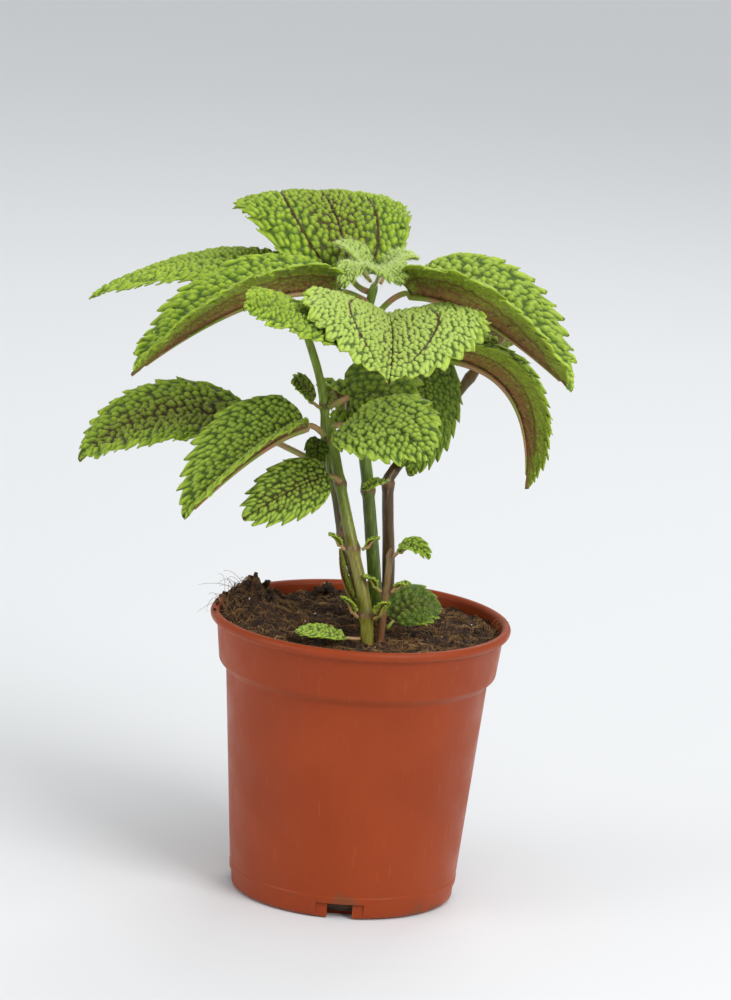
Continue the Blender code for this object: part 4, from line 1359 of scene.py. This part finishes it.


# A leaf's dark share lays painted shade over it where it sits in the shade of other leaves.
# A leaf's pale share lays on a painted silvery sheen of its hairs, together with its own paleness.
LEAVES = [
    Leaf("leaf_top_back", (-14, 18, 247), (-28, 50, 272), (-40, 83, 250), 72, "stem_middle", 243,
         roll=0, fold=6, curl=25, cell=2.5, brown=0.4, ribs=1.0),
    Leaf("leaf_far_left", (-26, 26, 239), (-68, 42, 244), (-119, 48, 224), 42, "stem_middle", 233,
         roll=-8, fold=5, curl=20, cell=2.4, brown=0.15, pale_and_sheen=0.05),
    Leaf("leaf_left", (-18, -4, 244), (-54, -16, 238), (-96, -32, 210), 52, "stem_middle", 238,
         roll=5, fold=40, curl=20, cell=2.6, brown=0.3, dry=1.0),
    Leaf("leaf_right", (10, -3, 245), (39, -13, 239), (76, -20, 214), 62, "stem_middle", 233,
         roll=-1, fold=44, curl=20, cell=2.6, brown=0.45, pale_and_sheen=0.2),
    Leaf("leaf_front_left", (-14, -22, 230), (-33, -57, 243), (-53, -72, 247), 40, "stem_middle", 224,
         roll=-22, fold=5, curl=15, cell=2.5, brown=0.2),
    Leaf("leaf_front", (1, -16, 238), (4, -50, 236), (4, -76, 223), 74, "stem_middle", 228,
         roll=-4, fold=24, curl=18, cell=2.1, brown=0.3, pale_and_sheen=0.65, ribs=0.9),
    Leaf("leaf_mid_left", (-49, 26, 179), (-84, 24, 182), (-117, 16, 164), 50, "stem_left", 171,
         roll=-16, fold=12, curl=10, cell=2.7, brown=0.85),
    Leaf("leaf_low_left", (-27, -13, 191), (-47, -20, 179), (-72, -30, 154), 48, "stem_front", 186,
         roll=-8, fold=38, curl=15, cell=2.1, brown=0.25, pale_and_sheen=0.15),
    Leaf("leaf_hanging_left", (-17, -20, 173), (-31, -24, 167), (-49, -28, 155), 25, "stem_front", 168,
         roll=-50, fold=8, curl=15, cell=1.9, brown=0.35, ribs=0.5, pale_and_sheen=0.2),
    Leaf("leaf_centre_front", (-12, -18, 194), (5, -34, 198), (22, -44, 188), 42, "stem_front", 191,
         roll=26, fold=4, curl=12, cell=2.5, brown=0.15, pale_and_sheen=0.25),
    Leaf("leaf_centre", (-11, -5, 202), (1, -8, 205), (16, -9, 201), 34, "stem_left", 195,
         roll=62, fold=8, curl=12, cell=2.6, brown=0.2, dark=0.55),
    Leaf("leaf_centre_dark", (11, 22, 222), (19, 15, 198), (15, 8, 169), 32, "stem_middle", 217,
         roll=0, fold=5, curl=30, cell=1.7, brown=0.2, dark=0.45),
    Leaf("leaf_drooping", (28, 10, 218), (54, 6, 204), (62, 10, 167), 30, "stem_right", 214,
         roll=0, fold=50, curl=0, cell=1.9, brown=1.0),
    Leaf("leaf_behind_centre", (-9, 10, 200), (-12, 34, 198), (-12, 58, 180), 24, "stem_middle", 197,
         roll=0, fold=12, curl=20, brown=0.3),
    Leaf("leaf_behind_right", (54, 41, 224), (52, 60, 221), (46, 80, 208), 30, "stem_right", 226,
         roll=0, fold=12, curl=20, brown=0.4),
    Leaf("leaf_behind_low", (-4, 11, 183), (-3, 34, 186), (0, 56, 174), 30, "stem_middle", 181,
         roll=0, fold=12, curl=20, brown=0.3),
]
for number, leaf in enumerate(LEAVES):
    blade = grown_leaf(leaf, number, HAIR_DENSITY, HAIR_LENGTH)
    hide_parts(leaf.name)
    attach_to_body(blade, "root")


# Young leaves: the four that open in the crown, still small and tightly crinkled, silvery with hair and
# with a painted silvery sheen.
# They grow on the middle stem, and are made as the large ones are, with closer bumps and more hair.
YOUNG_HAIR_DENSITY = 3200000.0
YOUNG_HAIR_LENGTH = 1.6
YOUNG_LEAVES = [
    Leaf("young_front", (-2.5, -5, 252), (0.5, -13, 255), (6, -21, 251), 16, "stem_middle", 245,
         roll=8, fold=18, curl=10, small=True, cell=1.5, brown=0.0, pale_and_sheen=0.65),
    Leaf("young_left", (-10, -4, 253), (-13, -12, 255), (-16, -20, 248), 12, "stem_middle", 246,
         roll=0, fold=15, curl=10, small=True, cell=1.4, brown=0.0, pale_and_sheen=0.65),
    Leaf("young_back_left", (-8, 7, 250), (-13, 9, 257), (-21, 11, 260), 19, "stem_middle", 246,
         roll=0, fold=15, curl=10, small=True, cell=1.4, brown=0.0, pale_and_sheen=0.65),
    Leaf("young_back_right", (0, 7, 250), (5, 9, 256), (12, 11, 256), 18, "stem_middle", 245,
         roll=0, fold=15, curl=10, small=True, cell=1.4, brown=0.0, pale_and_sheen=0.65),
]
for number, leaf in enumerate(YOUNG_LEAVES):
    blade = grown_leaf(leaf, 40 + number, YOUNG_HAIR_DENSITY, YOUNG_HAIR_LENGTH)
    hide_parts(leaf.name)
    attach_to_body(blade, "root")


# Small leaves: the ones at the stems' joints, the tufts of bracts, and those close to the soil. They
# are the same thin quilted blades on thinner stalks, with few bumps across.
# A small leaf's dark share lays painted shade over it where it sits in the shade of leaves and stems.
SMALL_LEAVES = [
    Leaf("small_upper_left", (-25, -4, 199), (-29, -6, 204), (-34, -9, 207), 13, "stem_left", 196,
         roll=-40, fold=15, curl=10, small=True, cell=1.5, brown=1.0),
    Leaf("small_below_joint", (-21, -5, 184), (-22, -8, 181), (-21, -9, 174), 10, "stem_left", 181,
         roll=0, fold=10, curl=10, small=True, cell=1.5, dark=0.5),
    Leaf("small_low_right", (13, -28, 147), (18, -31, 150), (25, -34, 146), 10, "stem_low", 143,
         roll=20, fold=20, curl=10, small=True, cell=1.5),
    Leaf("small_on_soil_right", (13, -23, 118), (21, -19, 124), (31, -14, 121), 22, "stem_low", 113,
         roll=35, fold=5, curl=15, small=True, cell=2.4, dark=0.8),
    Leaf("small_behind_stems", (0, 8, 114), (-7, 8, 124), (-10, 7, 138), 13, "stem_middle", 112,
         roll=0, fold=15, curl=10, small=True, cell=1.8, dark=0.3),
    Leaf("small_on_soil_left", (-6, -33, 112), (-15, -35, 114), (-25, -36, 113), 13, "stem_front", 112,
         roll=-10, fold=5, curl=10, small=True, cell=1.6, pale_and_sheen=0.2),
    Leaf("small_upper_right", (44, 27, 221), (41, 26, 223), (37, 24, 217), 14, "stem_right", 219,
         roll=0, fold=20, curl=10, small=True, cell=1.8),
    Leaf("tuft_front_left", (-10, -24, 147), (-12, -25, 150), (-15, -26, 151), 6, "stem_front", 145,
         roll=0, fold=10, curl=20, small=True, cell=1.3, brown=0.5),
    Leaf("tuft_front_right", (0, -24, 147), (2, -25, 150), (5, -26, 151), 6, "stem_front", 145,
         roll=0, fold=10, curl=20, small=True, cell=1.3, brown=0.5),
    Leaf("tuft_foot_left", (-3, -31, 122), (-5, -32, 126), (-8, -34, 128), 7, "stem_front", 120,
         roll=0, fold=10, curl=20, small=True, cell=1.3),
    Leaf("tuft_foot_right", (7, -33, 122), (8, -35, 126), (10, -37, 128), 7, "stem_front", 120,
         roll=0, fold=10, curl=20, small=True, cell=1.3),
    Leaf("tuft_low_left", (5, -27, 132), (3, -28, 135), (0, -30, 136), 6, "stem_low", 129,
         small=True, cell=1.3),
    Leaf("tuft_low_right", (13, -27, 132), (15, -28, 134), (18, -30, 134), 6, "stem_low", 129,
         small=True, cell=1.3),
    Leaf("bract_right", (5, 6, 167), (2, -2, 168), (-3, -4, 165), 7, "stem_right", 164,
         roll=0, fold=10, curl=20, small=True, cell=1.4),
]
for number, leaf in enumerate(SMALL_LEAVES):
    blade = grown_leaf(leaf, 60 + number, HAIR_DENSITY, HAIR_LENGTH)
    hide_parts(leaf.name)
    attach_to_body(blade, "root")
